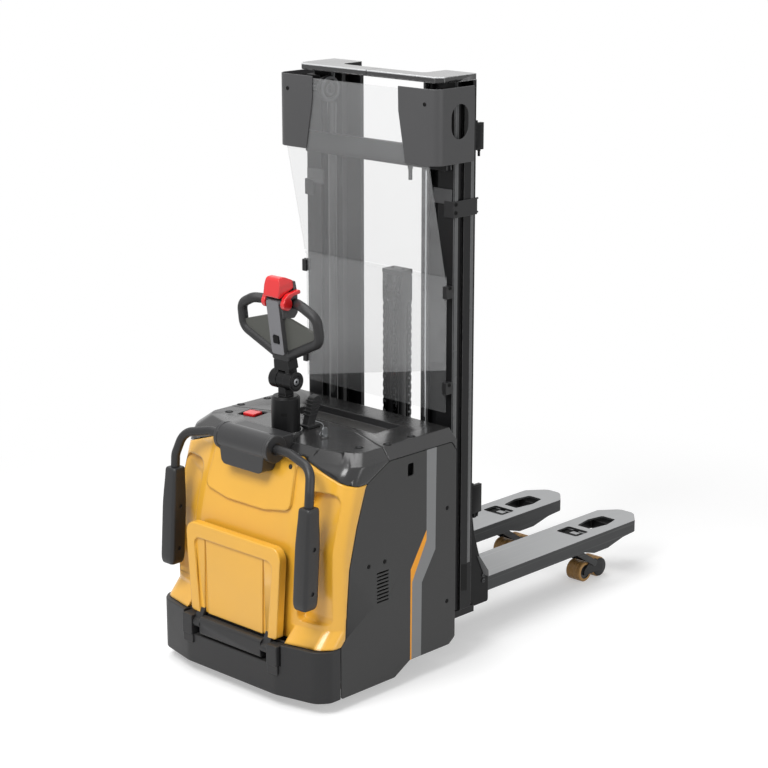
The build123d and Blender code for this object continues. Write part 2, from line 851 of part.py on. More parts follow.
# Drive unit: gearbox turret in the deck, motor, wheel and steering column
wheel_top = 2 * drive_radius
turret = bar_z(steer_x, 0, turret_radius, wheel_top + 14, deck_low - swing_gap)
neck = bar_z(steer_x, 0, neck_radius, deck_low - swing_gap, deck_top + swing_gap)
case_in = drive_width / 2 + case_gap
case_side = outline([
    (steer_x - 62, 46, 30), (steer_x + 62, 46, 30), (steer_x + 74, wheel_top + 20, 30),
    (steer_x - 74, wheel_top + 20, 30),
])
case = along_y(case_side, case_in, case_in + case_width) & bar_z(steer_x, 0, turret_radius + 14, 0, deck_low)
case_link = span(steer_x - 60, steer_x + 60, case_in, case_in + case_width, wheel_top - 10, wheel_top + 16)
drive_axle = bar_y(steer_x, drive_radius, drive_shaft, 4, case_in)
save("drive_gearbox", total([turret, neck, case, case_link, drive_axle]))
hub_size = drive_radius - tyre_depth
hub_core = bar_y(steer_x, drive_radius, hub_size, -drive_width / 2, drive_width / 2)
hub_dish = bar_y(steer_x, drive_radius, hub_size - 16, -drive_width / 2, 22 - drive_width / 2)
hub_bore = bar_y(steer_x, drive_radius, drive_shaft + running, 2, drive_width)
nut_place = Pos(nut_circle, 17 - drive_width / 2, 0) * Rot(90, 0, 0)
hub_nuts = [
    Pos(steer_x, 0, drive_radius) * Rot(0, 72 * i, 0) * nut_place * Cylinder(nut_radius, 10) for i in range(5)
]
save("drive_hub", total([hub_core - hub_dish - hub_bore] + hub_nuts))
tyre = bar_y(steer_x, drive_radius, drive_radius, -drive_width / 2, drive_width / 2)
tyre = fillet(tyre.edges(), 6)
save("drive_tyre", tyre - bar_y(steer_x, drive_radius, hub_size, -drive_width, drive_width))
motor_low = deck_top + swing_gap
motor_high = motor_low + motor_height
motor_flange = bar_z(steer_x, 0, turret_radius, motor_low, motor_low + plate)
save("drive_motor", motor_flange + bar_z(steer_x, 0, motor_radius, motor_low, motor_high))

column_low = crown - 12
column = bar_z(steer_x, 0, column_radius, column_low, column_top)
column = chamfer(column.faces().sort_by(Axis.Z)[-1].edges(), 7)
knuckle_web = span(hub_x - 20, hub_x + 20, -knuckle_half, knuckle_half, column_top - 10, hub_z)
knuckle = bar_y(hub_x, hub_z, hub_radius - 2, -knuckle_half, knuckle_half)
column_pin = bar_y(hub_x, hub_z, tiller_pin, working_gap - hub_half, hub_half - working_gap)
lower_post = bar_z(steer_x, 0, post_radius, motor_high, column_low)
save("steering_column", total([lower_post, column, knuckle_web, knuckle, column_pin]))

# Tiller, drawn upright about its hub and then leant towards the operator
tiller_place = Pos(hub_x, 0, hub_z) * Rot(0, -tiller_lean, 0)
cheek_in = knuckle_half + swing_gap
cheek = bar_y(0, 0, hub_radius, cheek_in, hub_half)
cheek = cheek + span(neck_front, neck_back - 6, cheek_in, neck_half, 0, neck_low + 7)
cheek = cheek - bar_y(0, 0, tiller_pin + running, 0, hub_half)
neck_face = front_face([(neck_half + 3, neck_low, 6), (neck_half, neck_top)])
save("tiller_arm", tiller_place * (both(cheek) + along_x(neck_face, neck_front, neck_back)))

head_side_face = outline([
    (-loop_front, 230, 6), (40, 218, 10), (58, 232, 14), (66, 300, 20), (62, 345, 4), (53, 345, 3), (51, 313),
    (-loop_front, spine_top),
])
head_box = along_y(head_side_face, -head_half, head_half)
loop_x = (loop_back - loop_front) / 2
loop_path = FilletPolyline(
    (loop_x, 24, 88), (loop_x, 187, 164), (loop_x, 185, 248), (loop_x, 122, 279), (46, 52, 268),
    (46, head_half - 2, 268), radius=loop_bend)
loop_tubes = both(tube(loop_path, loop_tube))
yoke = span(-loop_front, loop_back, -yoke_half, yoke_half, neck_top, yoke_top)
yoke = fillet(yoke.edges().filter_by(Axis.X), 8)
handle_loop = loop_tubes - span(-loop_back, loop_back, -yoke_half, yoke_half, 0, neck_top) + yoke - head_box
save("handle_loop", tiller_place * handle_loop)

infill_face = outline([(spine_half, 97), (187, 164), (185, 190), (56, 227), (spine_half, 229)])
infill = along_x(infill_face, loop_x - infill_thick / 2, loop_x + infill_thick / 2)
spine_x = -loop_front - spine_face
spine_plate = span(spine_x, -loop_front, -spine_half, spine_half, spine_low, spine_top)
spine_plate = fillet(spine_plate.edges().filter_by(Axis.X), 10)
spine_core = span(-loop_front, loop_back, -spine_half, spine_half, yoke_top, 232)
wing_bore = bar_y(wing_x, wing_z, wing_shaft + running, -head_half, head_half)
creep_pocket = span(spine_x - overcut, 10 - loop_front, -creep_half - slide_gap, creep_half + slide_gap,
                    creep_z - creep_height / 2 - slide_gap, creep_z + creep_height / 2 + slide_gap)
stem_bores = [bar_z(stem_x, y, stem_radius + slide_gap, stem_low - 8, 330) for y in (-stem_y, stem_y)]
head = total([spine_plate, spine_core, head_box, both(infill) - loop_tubes - yoke])
save("control_head", tiller_place * (head - wing_bore - creep_pocket - total(stem_bores)))

belly_side = outline([(-26, 301, 6), (49, 323, 5), (51, 350, 8), (20, 369, 30), (-6, 371, 12)])
belly_front = front_face([(belly_half, 290), (belly_half, 345, 30), (belly_half - 8, 374, 14)])
belly = along_y(belly_side, -belly_half, belly_half) & along_x(belly_front, -neck_low, 2 * head_half)
stems = [bar_z(stem_x, y, stem_radius, stem_low, 326) for y in (-stem_y, stem_y)]
save("belly_button", tiller_place * total([belly] + stems))

wing_lever = outline([
    (wing_x - 12, wing_z + 14), (wing_x + 14, wing_z + 14), (wing_x + 30, wing_z + 22, 6),
    (wing_x + 64, wing_z + 22, 5), (wing_x + 64, wing_z + 36, 6), (wing_x + 8, wing_z + 34, 10),
    (wing_x - 12, wing_z + 22, 6),
])
wing_disc = Pos(wing_x, wing_z) * Circle(wing_radius)
wing_in = head_half + swing_gap
wing = along_y(wing_disc, wing_in, wing_reach) + along_y(wing_lever, wing_in, wing_reach)
wing_rod = bar_y(wing_x, wing_z, wing_shaft, -wing_reach, wing_reach)
save("butterfly_switch", tiller_place * (both(wing) + wing_rod))
creep = span(spine_x - working_gap, -loop_front, -creep_half, creep_half,
             creep_z - creep_height / 2, creep_z + creep_height / 2)
save("creep_button", tiller_place * creep)

# Swivel castors
fork_gap = castor_width / 2 + 2
castor_hub_x = castor_x - castor_trail
castor_out = fork_gap + castor_plate
cheek_side = outline([
    (castor_hub_x - 16, castor_radius - 16, 14), (castor_hub_x + 16, castor_radius - 16, 14),
    (castor_x + crown_back, post_low - 2), (castor_x - crown_front, post_low - 2),
])
castor_cheeks = []
for y in (castor_y - castor_out, castor_y + fork_gap):
    castor_cheeks.append(along_y(cheek_side, y, y + castor_plate))
castor_crown = span(castor_x - crown_front, castor_x + crown_back, castor_y - castor_out,
                    castor_y + castor_out, post_low - 10, post_low - swing_gap)
castor_pin = bar_z(castor_x, castor_y, kingpin, post_low - swing_gap, kingpin_top)
castor_bolt = bar_y(castor_hub_x, castor_radius, castor_axle, castor_y - fork_gap, castor_y + fork_gap)
castor_fork = total(castor_cheeks + [castor_crown, castor_pin, castor_bolt])
save("castor_fork_left", castor_fork)
save("castor_fork_right", opposite(castor_fork))
castor_rim = castor_width / 2
castor_wheel = bar_y(castor_hub_x, castor_radius, castor_radius, castor_y - castor_rim, castor_y + castor_rim)
castor_wheel = fillet(castor_wheel.edges(), 5)
castor_wheel = castor_wheel - bar_y(castor_hub_x, castor_radius, castor_axle + running, 0, body_half)
save("castor_wheel_left", castor_wheel)
save("castor_wheel_right", opposite(castor_wheel))

# Initial-lift cylinder between the base frame and the lift frame
initial_top = lower_beam_low - initial_lift - working_gap
initial_floor = foot_top + initial_base
initial_barrel = bar_z(foot_x, 0, initial_radius, foot_top, initial_top)
initial_barrel = initial_barrel - bar_z(foot_x, 0, initial_bore, initial_floor, initial_top + overcut)
save("initial_lift_barrel", initial_barrel)


# Outer mast: channel columns, cross beams, guide shoes and top rollers
def channel(rear, web_out, web_in, low, high):
    """Plan of a mast column: a web with two flanges reaching from one tip to the other."""
    tips = Rectangle(mast_flange, high - low)
    reach = (mast_depth - mast_flange) / 2
    flanges = Pos(-reach, (low + high) / 2) * tips + Pos(reach, (low + high) / 2) * tips
    web = Pos(0, (web_in + web_out) / 2) * Rectangle(mast_depth, web_out - web_in)
    return Pos(rear + mast_depth / 2, 0) * (flanges + web)


outer_plan = channel(mast_rear, mast_half, outer_web_in, outer_tip, mast_half)
mast_column = along_z(outer_plan, sill_high, mast_top)
side_groove = span(mast_rear + groove_front, mast_rear + groove_front + groove_width, mast_half - groove_sink,
                   mast_half + overcut, sill_high - overcut, mast_top + overcut)
roller_notch = span(outer_front - mast_flange - overcut, outer_front + overcut, outer_tip - overcut,
                    outer_web_in - 2, top_roller_z - guide_room, mast_top + overcut)
roller_out = inner_out - 1
top_roller = bar_y(channel_x, top_roller_z, guide_roller, roller_out - guide_width, roller_out)
top_roller = top_roller + bar_y(channel_x, top_roller_z, guide_axle + 2, roller_out, outer_web_in)
shoe_half = rail_width / 2 + shoe_wall
way_half = rail_width / 2 + slide_gap
shoes = []
for z in shoe_heights:
    shoe = span(rail_front + seam, mast_rear, rail_side - shoe_half, rail_side + shoe_half,
                z, z + shoe_height)
    way = span(rail_front, rail_front + rail_depth + slide_gap, rail_side - way_half, rail_side + way_half,
               z - overcut, z + shoe_height + overcut)
    shoes.append(shoe - way)
mast_side = mast_column - side_groove - roller_notch + top_roller + total(shoes)
upper_beam = span(mast_rear - upper_beam_depth, mast_rear, -outer_web_in, outer_web_in,
                  upper_beam_low, upper_beam_high)
lower_beam = span(mast_rear - lower_beam_depth, mast_rear, -outer_web_in, outer_web_in,
                  lower_beam_low, lower_beam_high)
push_beam = span(mast_rear - lower_beam_depth, foot_x + initial_bore + 2, -push_beam_half, push_beam_half,
                 push_beam_low, lower_beam_high)
initial_rod_bar = bar_z(foot_x, 0, initial_rod, initial_floor + initial_lift + 10, push_beam_low)
beams = total([upper_beam, lower_beam, push_beam])
barrel_room = bar_z(cylinder_x, cylinder_y, cylinder_radius + slide_gap, sill_high, cylinder_top)
save("mast_outer", total([both(mast_side), beams - both(barrel_room), initial_rod_bar]))

# Lift frame: sill under the mast and two support legs with the pivots of the load arms
sill_half = mast_half - sill_inset
notch_half = foot_width / 2 + sill_room
sill = span(sill_rear, sill_front, -sill_half, sill_half, sill_low, sill_high)
notch_end = foot_x + foot_reach + working_gap
sill = sill - span(sill_rear - overcut, notch_end, -notch_half, notch_half, 0, mast_top)
leg_in = fork_centre - leg_half
leg_out = fork_centre + leg_half
leg_back = leg_end - leg_wall
leg = span(sill_front - leg_lap, leg_end, leg_in, leg_out, leg_low, leg_top)
leg = leg - span(sill_front, leg_back, leg_in + leg_wall, leg_out - leg_wall, 0, leg_top - leg_wall)
leg = leg - span(leg_open, leg_back, leg_in + leg_wall, leg_out - leg_wall, 0, fork_top)
rod_low = leg_low + rod_rise
rod_high = rod_low + rod_height
rod_way = rod_width / 2 + slide_gap
for x in leg_ribs:
    rib = span(x, x + leg_wall, leg_in, leg_out, leg_low, leg_top)
    leg = leg + rib - span(x - overcut, x + leg_wall + overcut, fork_centre - rod_way, fork_centre + rod_way,
                           rod_low - slide_gap, rod_high + slide_gap)
leg = leg + bar_y(pivot_x, pivot_z, pivot_pin, leg_in, leg_out)
save("lift_frame", sill + both(leg))

# Load arms, tandem bogies and load rollers
bogie_half = roller_width / 2 + swing_gap
bogie_out = bogie_half + bogie_plate
arm_in = bogie_out + swing_gap
arm_out = arm_in + arm_plate
arm_middle = Pos((pivot_x + bogie_x) / 2, (pivot_z + bogie_pin_z) / 2)
arm_slot = arm_middle * Rot(0, 0, -degrees(arm_raised)) * SlotCenterToCenter(arm_length, arm_height)
arm_plates = [along_y(arm_slot, y, y + arm_plate) for y in (-arm_out, arm_in)]
pivot_hub = bar_y(pivot_x, pivot_z, pivot_pin + pivot_wall, -arm_out, arm_out)
lever_turn = arm_swing / 2
lever_x = pivot_x + lever * sin(lever_turn)
lever_z = pivot_z + lever * cos(lever_turn)
lever_middle = Pos((pivot_x + lever_x) / 2, (pivot_z + lever_z) / 2)
lever_slot = SlotCenterToCenter(lever, 2 * lever_pin + lever_side)
lever_face = lever_middle * Rot(0, 0, 90 - degrees(lever_turn)) * lever_slot
lever_in = rod_width / 2 + lever_side
lever_out = lever_in + arm_plate
lever_cheeks = [along_y(lever_face, y, y + arm_plate) for y in (-lever_out, lever_in)]
lever_bolt = bar_y(lever_x, lever_z, lever_pin, -lever_out, lever_out)
bogie_bolt = bar_y(bogie_x, bogie_pin_z, bogie_pin, -arm_out, arm_out)
load_arm = total(arm_plates + [pivot_hub, lever_bolt, bogie_bolt] + lever_cheeks)
load_arm = load_arm - bar_y(pivot_x, pivot_z, pivot_pin + running, -arm_out - overcut, arm_out + overcut)
save("load_arm_left", Pos(0, fork_centre, 0) * load_arm)
save("load_arm_right", Pos(0, -fork_centre, 0) * load_arm)

bogie_face = outline([
    (bogie_x - bogie_reach, bogie_low, 9), (bogie_x + bogie_reach, bogie_low, 9),
    (bogie_x + bogie_reach, bogie_high, 9), (bogie_x + 16, bogie_pin_z + 13, 9),
    (bogie_x - 16, bogie_pin_z + 13, 9), (bogie_x - bogie_reach, bogie_high, 9),
])
bogie_sides = [along_y(bogie_face, y, y + bogie_plate) for y in (-bogie_out, bogie_half)]
axle_places = [bogie_x - roller_pitch / 2, bogie_x + roller_pitch / 2]
axles = [bar_y(x, roller_radius, roller_axle, -bogie_out, bogie_out) for x in axle_places]
load_bogie = total(bogie_sides + axles) - bar_y(bogie_x, bogie_pin_z, bogie_pin + running, -arm_out, arm_out)
save("load_bogie_left", Pos(0, fork_centre, 0) * load_bogie)
save("load_bogie_right", Pos(0, -fork_centre, 0) * load_bogie)
for place, x in zip(("rear", "front"), axle_places):
    roller = bar_y(x, roller_radius, roller_radius, -roller_width / 2, roller_width / 2)
    roller = fillet(roller.edges(), 4)
    roller = roller - bar_y(x, roller_radius, roller_axle + running, -roller_width, roller_width)
    save(f"load_wheel_{place}_left", Pos(0, fork_centre, 0) * roller)
    save(f"load_wheel_{place}_right", Pos(0, -fork_centre, 0) * roller)

# Push rods in the legs
rod_half = rod_width / 2
rod_lift = pivot_z + pivot_pin + pivot_wall + 1
rod_tip = lever_x - lever_pin - slide_gap
rod_step = pivot_x - rod_back
rod = span(sill_front + rod_stem, rod_step + rod_stem, -rod_half, rod_half, rod_low, rod_high)
rod_riser = span(rod_step, rod_step + rod_stem, -rod_half, rod_half, rod_low, lever_z + rod_head)
rod_pad = span(rod_step, rod_tip, -rod_half, rod_half, rod_lift, lever_z + rod_head)
push_rod = rod + rod_riser + rod_pad
save("push_rods", Pos(0, fork_centre, 0) * push_rod, Pos(0, -fork_centre, 0) * push_rod)

# Inner mast: channel columns, bottom bar and top bridge
inner_plan = channel(inner_rear, inner_web_out, inner_web_in, inner_tip, inner_out)
low_roller_z = inner_low + low_roller_rise
low_notch = span(inner_rear - overcut, inner_rear + mast_flange + overcut, inner_web_out + overcut,
                 inner_out + overcut, inner_low - overcut, low_roller_z + guide_room)
inner_column = along_z(inner_plan, inner_low, bridge_low) - low_notch
cross_bar = span(tower_x - 35, inner_front, -inner_web_in, inner_web_in, inner_low + working_gap, tower_low)
bridge_front = inner_front - working_gap
bridge_waist = cylinder_x + rod_radius + working_gap
bridge_face = plan_face([
    (bridge_waist, inner_tip, 20), (bridge_front, inner_tip, 8), (bridge_front, bridge_half, 8),
    (bridge_rear + bridge_corner, bridge_half, 8), (bridge_rear, bridge_half - bridge_corner, 8),
])
bridge = along_z(bridge_face, bridge_low, bridge_low + bridge_thick)
save("mast_inner", total([inner_column, opposite(inner_column), cross_bar, bridge]))
low_roller_in = inner_web_out + working_gap
low_roller = bar_y(outer_channel_x, low_roller_z, guide_roller, low_roller_in, low_roller_in + guide_width)
low_roller = low_roller + bar_y(outer_channel_x, low_roller_z, guide_axle, inner_web_out, low_roller_in)
save("mast_rollers", low_roller, opposite(low_roller))

# Lift cylinders of the inner mast
gland_low = cylinder_top - gland_height
barrel = bar_z(cylinder_x, cylinder_y, cylinder_radius, sill_high, cylinder_top)
barrel = barrel + bar_z(cylinder_x, cylinder_y, cylinder_radius + 2, gland_low, cylinder_top)
barrel = barrel - bar_z(cylinder_x, cylinder_y, rod_radius + 2, sill_high + barrel_base, gland_low)
barrel = barrel - bar_z(cylinder_x, cylinder_y, rod_radius + running, gland_low - overcut,
                        cylinder_top + overcut)
save("lift_cylinder_barrels", barrel, opposite(barrel))
mast_rod = bar_z(cylinder_x, cylinder_y, rod_radius, rod_start, bridge_low)
save("lift_cylinder_rods", mast_rod, opposite(mast_rod))

# Free-lift cylinder on the inner mast, its crosshead and the chains
gland = tower_top - tower_gland
tower = bar_z(tower_x, 0, tower_radius, tower_low, tower_top)
tower = tower - bar_z(tower_x, 0, tower_rod + 3, tower_low + barrel_base, gland)
tower = tower - bar_z(tower_x, 0, tower_rod + running, gland - overcut, tower_top + overcut)
save("free_lift_barrel", tower)
head_face = outline([
    (tower_x - head_depth, head_low, 8), (tower_x + head_depth, head_low, 8),
    (tower_x + head_depth, head_low + head_height, 8), (tower_x - head_depth, head_low + head_height, 8),
])
head_walls = [along_y(head_face, y - head_wall / 2, y + head_wall / 2) for y in (-head_side, 0, head_side)]
head_out = head_side + head_wall / 2
head_base = span(tower_x - head_depth, tower_x + head_depth, -head_out, head_out, head_low,
                 head_low + head_block - 10)
chain_lows = [side * chain_side - chain_width / 2 for side in (-1, 1)]
sheaves = [bar_y(tower_x, sheave_z, sheave_radius, low, low + chain_width) for low in chain_lows]
head_bolt = bar_y(tower_x, sheave_z, sheave_bolt, -head_out, head_out)
tower_bar = bar_z(tower_x, 0, tower_rod, tower_low + tower_rod_start, head_low)
save("free_lift_crosshead", total(head_walls + [head_base, head_bolt, tower_bar] + sheaves))
chain_reach = sheave_radius + chain_thick
chain_ring = Pos(tower_x, sheave_z) * (Circle(chain_reach) - Circle(sheave_radius))
chain_arch = chain_ring & Pos(tower_x, sheave_z + chain_reach) * Rectangle(4 * chain_reach, 2 * chain_reach)
chains = []
for low in chain_lows:
    high = low + chain_width
    rear_run = span(tower_x - chain_reach, tower_x - sheave_radius, low, high, tower_low, sheave_z)
    front_run = span(tower_x + sheave_radius, tower_x + chain_reach, low, high, carriage_high, sheave_z)
    chains.append(along_y(chain_arch, low, high) + rear_run + front_run)
save("free_lift_chains", *chains)

# Fork carriage with its rollers
plate_out = inner_tip - working_gap
plate_in = plate_out - roller_plate
plate_rear = channel_x - 30
beam_rear = fork_heel - carriage_plate
roller_plate_face = outline([
    (plate_rear, carriage_low + 50, 12), (fork_heel, carriage_low + 50, 12), (fork_heel, carriage_high, 12),
    (plate_rear, carriage_high, 12),
])
roller_plates = both(along_y(roller_plate_face, plate_in, plate_out))
low_beam = span(beam_rear, fork_heel, -gusset_outer, gusset_outer, carriage_low, carriage_low + carriage_beam)
high_beam = span(beam_rear, fork_heel, -gusset_outer, gusset_outer, carriage_high - carriage_rail,
                 carriage_high)
gusset_rear = inner_front + gusset_gap
gusset_face = outline([
    (gusset_rear, carriage_high - 8, 4), (gusset_rear + 21, 420, 200), (gusset_rear + 54, 318, 90),
    (gusset_front - 2, 259, 18), (gusset_front, gusset_foot, 10), (gusset_rear + 24, gusset_foot, 10),
    (gusset_rear, gusset_foot + 25, 10),
])
gusset_in = gusset_outer - carriage_plate
gusset = along_y(gusset_face, gusset_in, gusset_outer)
heel_block = span(beam_rear, gusset_front - 6, fork_centre + fork_width / 2, gusset_in, fork_low, 250)
chain_anchor = span(tower_x + tower_radius + seam, fork_heel, -anchor_half, anchor_half,
                    carriage_high - anchor_thick, carriage_high)
carriage = [roller_plates, low_beam, high_beam, both(gusset), both(heel_block), chain_anchor]
save("carriage_frame", total(carriage))
roller_set = []
for z in (carriage_low + 110, carriage_high - 60):
    wheel = bar_y(channel_x, z, guide_roller, inner_tip + working_gap, inner_web_in - nest_gap)
    roller_set.append(wheel + bar_y(channel_x, z, guide_axle, plate_out, inner_tip + working_gap))
save("carriage_rollers", *roller_set, *[opposite(roller) for roller in roller_set])

# Forks: inverted channels over the legs with an upright shank
nose_back = truck_rear - fork_nose
fork_half = fork_width / 2
heel_front = fork_heel + shank_thick
fork_plan = plan_face([
    (fork_heel, fork_half), (nose_back, fork_half, 14), (truck_rear - 13, 43, 10), (truck_rear, 20, 10),
])
fork_skirt = outline([
    (fork_heel, fork_top), (fork_heel, fork_low), (1480, fork_low, 20), (1540, 139, 20), (1625, 139, 20),
    (1721, 160, 20), (nose_back, 165), (truck_rear, 176), (truck_rear, fork_top, 6),
])
fork_solid = along_z(fork_plan, 0, fork_top) & along_y(fork_skirt, -fork_half, fork_half)
fork_room = span(fork_heel - overcut, nose_back - 30, fork_plate - fork_half, fork_half - fork_plate,
                 0, fork_top - fork_plate)
big_window = plan_face([(1588, 33, 10), (1676, 48, 10), (1750, 33, 10)])
small_window = Pos(1516, 0) * RectangleRounded(80, 102, 12)
windows = along_z(big_window, 0, 2 * fork_top) + along_z(small_window, 0, 2 * fork_top)
shank_half = fork_half - shank_inset
shank_low = fork_top - fork_plate
shank = along_x(front_face([(shank_half, shank_low), (shank_half, shank_top, 12)]), fork_heel, heel_front)
brace_face = outline([(heel_front, fork_top), (heel_front + brace_length, fork_top),
                      (heel_front, fork_top + brace_height)])
brace_in = shank_half - 6 - brace_thick
braces = both(along_y(brace_face, brace_in, brace_in + brace_thick))
fork = fork_solid - fork_room - windows + shank + braces
save("fork_left", Pos(0, fork_centre, 0) * fork)
save("fork_right", Pos(0, -fork_centre, 0) * fork)

# Mast guard: a bent upper sheet and a flat lower sheet
upper_points = [(sheet_rear, sheet_top), (sheet_rear, sheet_bend), (sheet_front - sheet - 1, sheet_join)]
upper_back = [(x + sheet, z) for x, z in reversed(upper_points)]
upper_sheet = along_y(outline(upper_points + upper_back), -sheet_half, sheet_half)
lower_sheet = span(sheet_front, sheet_front + sheet, -sheet_half, sheet_half, sheet_low,
                   sheet_join + sheet_lap)
save("mast_guard", upper_sheet, lower_sheet)

# Guard brackets at the top, straps round the columns and edge clips
shroud_rear = sheet_rear - shroud_wall - sheet_play
shroud_inner = shroud_half - shroud_wall
shroud_plan = outline([
    (shroud_rear, shroud_in), (shroud_rear, shroud_half, shroud_bend), (shroud_end, shroud_half),
    (shroud_end, shroud_inner), (shroud_rear + shroud_wall, shroud_inner, shroud_bend - shroud_wall),
    (shroud_rear + shroud_wall, shroud_in),
])
shroud = along_z(shroud_plan, shroud_low, shroud_top)
slant = outline([
    (0, 0), (shroud_in + shroud_slant + 6, 0), (shroud_in + shroud_slant, shroud_low),
    (shroud_in + 2, shroud_top - 84), (shroud_in, shroud_top), (0, shroud_top),
])
shroud = shroud - along_x(slant, shroud_rear - overcut, sheet_rear)
shroud_eye = Pos(eye_x, eye_z) * Rot(0, 0, 90) * SlotOverall(eye_height, eye_width)
shroud = shroud - along_y(shroud_eye, shroud_inner - overcut, shroud_half + overcut)
for rise in bracket_rises:
    z = shroud_low + rise
    shroud = shroud + span(bracket_x, bracket_x + bracket_size, mast_half, shroud_inner, z, z + bracket_size)
strap = span(mast_rear - strap_wall, outer_front + strap_wall, mast_half - strap_reach,
             mast_half + strap_wall, strap_low, strap_high)
strap = strap - span(mast_rear, outer_front, 0, mast_half, strap_low - overcut, strap_high + overcut)
fittings = [shroud, strap]
for z in clip_heights:
    clip = span(sheet_front - clip_wall, mast_rear, sheet_half - strap_wall, sheet_half + mast_web,
                z - clip_half, z + clip_half)
    clip_slot = span(sheet_front - sheet_play, sheet_front + sheet + sheet_play, 0, sheet_half + swing_gap,
                     z - clip_half - overcut, z + clip_half + overcut)
    fittings.append(clip - clip_slot)
save("guard_brackets", *fittings, *[opposite(fitting) for fitting in fittings])
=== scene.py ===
# %% [markdown]
# # Dressing a stacker truck
# The truck's solids come from its CAD model and already sit in the right place, in metres, with +X towards the
# fork tips, +Y to the left and +Z up. This lesson gives every solid a finish, softens its edges, and adds the
# small pieces that the solids leave out: screws, chain links, turned wheels, trim and switches.

# %% Load the frame
import json
import math

import bmesh
import bpy
from mathutils import Matrix, Vector
from mathutils.bvhtree import BVHTree
from mathutils.kdtree import KDTree


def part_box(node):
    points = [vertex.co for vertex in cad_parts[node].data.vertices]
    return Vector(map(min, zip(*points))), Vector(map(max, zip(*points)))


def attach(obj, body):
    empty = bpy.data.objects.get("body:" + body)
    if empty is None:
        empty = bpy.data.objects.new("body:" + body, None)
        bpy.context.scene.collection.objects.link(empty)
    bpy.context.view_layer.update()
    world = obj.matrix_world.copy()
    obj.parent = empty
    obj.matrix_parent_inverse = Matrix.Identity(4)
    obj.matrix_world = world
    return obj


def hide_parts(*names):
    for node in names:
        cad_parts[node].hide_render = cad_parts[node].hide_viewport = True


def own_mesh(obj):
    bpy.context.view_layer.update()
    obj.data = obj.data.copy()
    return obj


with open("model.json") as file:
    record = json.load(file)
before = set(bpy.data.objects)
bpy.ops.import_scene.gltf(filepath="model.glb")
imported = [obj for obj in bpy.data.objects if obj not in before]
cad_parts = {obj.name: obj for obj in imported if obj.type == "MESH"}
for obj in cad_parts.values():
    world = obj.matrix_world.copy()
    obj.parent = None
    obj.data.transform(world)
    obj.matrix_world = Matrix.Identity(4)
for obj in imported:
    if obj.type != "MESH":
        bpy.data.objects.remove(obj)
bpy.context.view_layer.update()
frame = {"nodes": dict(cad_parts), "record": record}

# %% [markdown]
# ## Where things are
# The drawing of the truck counts millimetres from the seam of the side panels at the operator's end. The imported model
# is centred, so one helper turns a place on the drawing into a place in the scene, and another turns it back. Every
# later step uses them, which keeps the numbers in this file the same as the ones a tape measure would give.

# %% Places on the drawing
TRUCK_MIDDLE = 867.0
SIDES = (("left", 1), ("right", -1))


def at(x, y, z):
    """A place on the drawing, in millimetres, as a place in the scene, in metres."""
    return Vector(((x - TRUCK_MIDDLE) / 1000, y / 1000, z / 1000))


def drawn(place):
    """A place in the scene as a place on the drawing."""
    return Vector((place.x * 1000 + TRUCK_MIDDLE, place.y * 1000, place.z * 1000))


def placed(name, data):
    """A new object in the scene."""
    thing = bpy.data.objects.new(name, data)
    bpy.context.collection.objects.link(thing)
    return thing


BODY_OF = {node: body for body, nodes in frame["record"]["behaviour"]["bodies"].items() for node in nodes}

# %% [markdown]
# ## The camera
# A product photograph is taken from far away with a long lens, so that upright lines stay almost parallel. The
# camera stands at the operator's end, off to the right and a little above the truck.

# %% Camera
LOOK_DOWN, TURN = 14.91, 43.69
camera_data = bpy.data.cameras.new("photo_camera")
camera_data.lens, camera_data.sensor_width, camera_data.clip_end = 97.87, 36.0, 100.0
camera = placed("photo_camera", camera_data)
camera.location = at(-4638.62, -5044.02, 2891.57)
camera.rotation_euler = (math.radians(90 - LOOK_DOWN), 0.0, math.radians(TURN - 90))
bpy.context.scene.camera = camera
bpy.context.scene.view_settings.view_transform = "Standard"
print("camera at", [round(v, 3) for v in camera.location])

# %% [markdown]
# ## Floor, backdrop and lamps
# The truck stands on a pale floor that runs into a white room. Light Path tells the floor and the room who is
# looking: the camera, a mirror or a clear sheet sees white, and everything else gets an even, modest light. Close
# to the truck the floor keeps its own shading, so the soft shadow under the bumper stays.


# %% Node helpers
def plug(tree, value, socket):
    """Link a socket to an input, or set the input to a plain value, unless that is None."""
    if isinstance(value, bpy.types.NodeSocket):
        tree.links.new(value, socket)
    elif value is not None:
        socket.default_value = value


def add(tree, kind, *values, out=0, **named):
    """A new node, as one of its outputs or as all of them. Names in small letters set how it works, and all other
    values go into its inputs."""
    node = tree.nodes.new(kind)
    wanted = list(enumerate(values))
    for name, value in named.items():
        if name[0].islower():
            setattr(node, name, value)
        else:
            wanted.append((name.replace("_", " "), value))
    for key, value in wanted:
        plug(tree, value, node.inputs[key])
    return node.outputs if out is None else node.outputs[out]


def maths(tree, operation, *values, clamp=False):
    """A sum, product or the like of sockets and numbers."""
    return add(tree, "ShaderNodeMath", *values, operation=operation, use_clamp=clamp)


def object_place(tree):
    return add(tree, "ShaderNodeTexCoord", out="Object")


def srgb(code):
    """A colour written as six hex digits, as the linear values that shaders use."""
    parts = [int(code[i:i + 2], 16) / 255 for i in (0, 2, 4)]
    return tuple(c / 12.92 if c <= 0.04045 else ((c + 0.055) / 1.055) ** 2.4 for c in parts) + (1.0,)


# %% Floor and room
def seen_directly(tree):
    """1 where the camera, a reflection or a clear sheet looks, 0 for light that falls on the truck."""
    path = add(tree, "ShaderNodeLightPath", out=None)
    looks = maths(tree, "MAXIMUM", path["Is Camera Ray"], path["Is Glossy Ray"])
    return maths(tree, "MAXIMUM", looks, path["Is Transmission Ray"])


def blended(tree, share, first, second):
    return add(tree, "ShaderNodeMixShader", share, first, second)


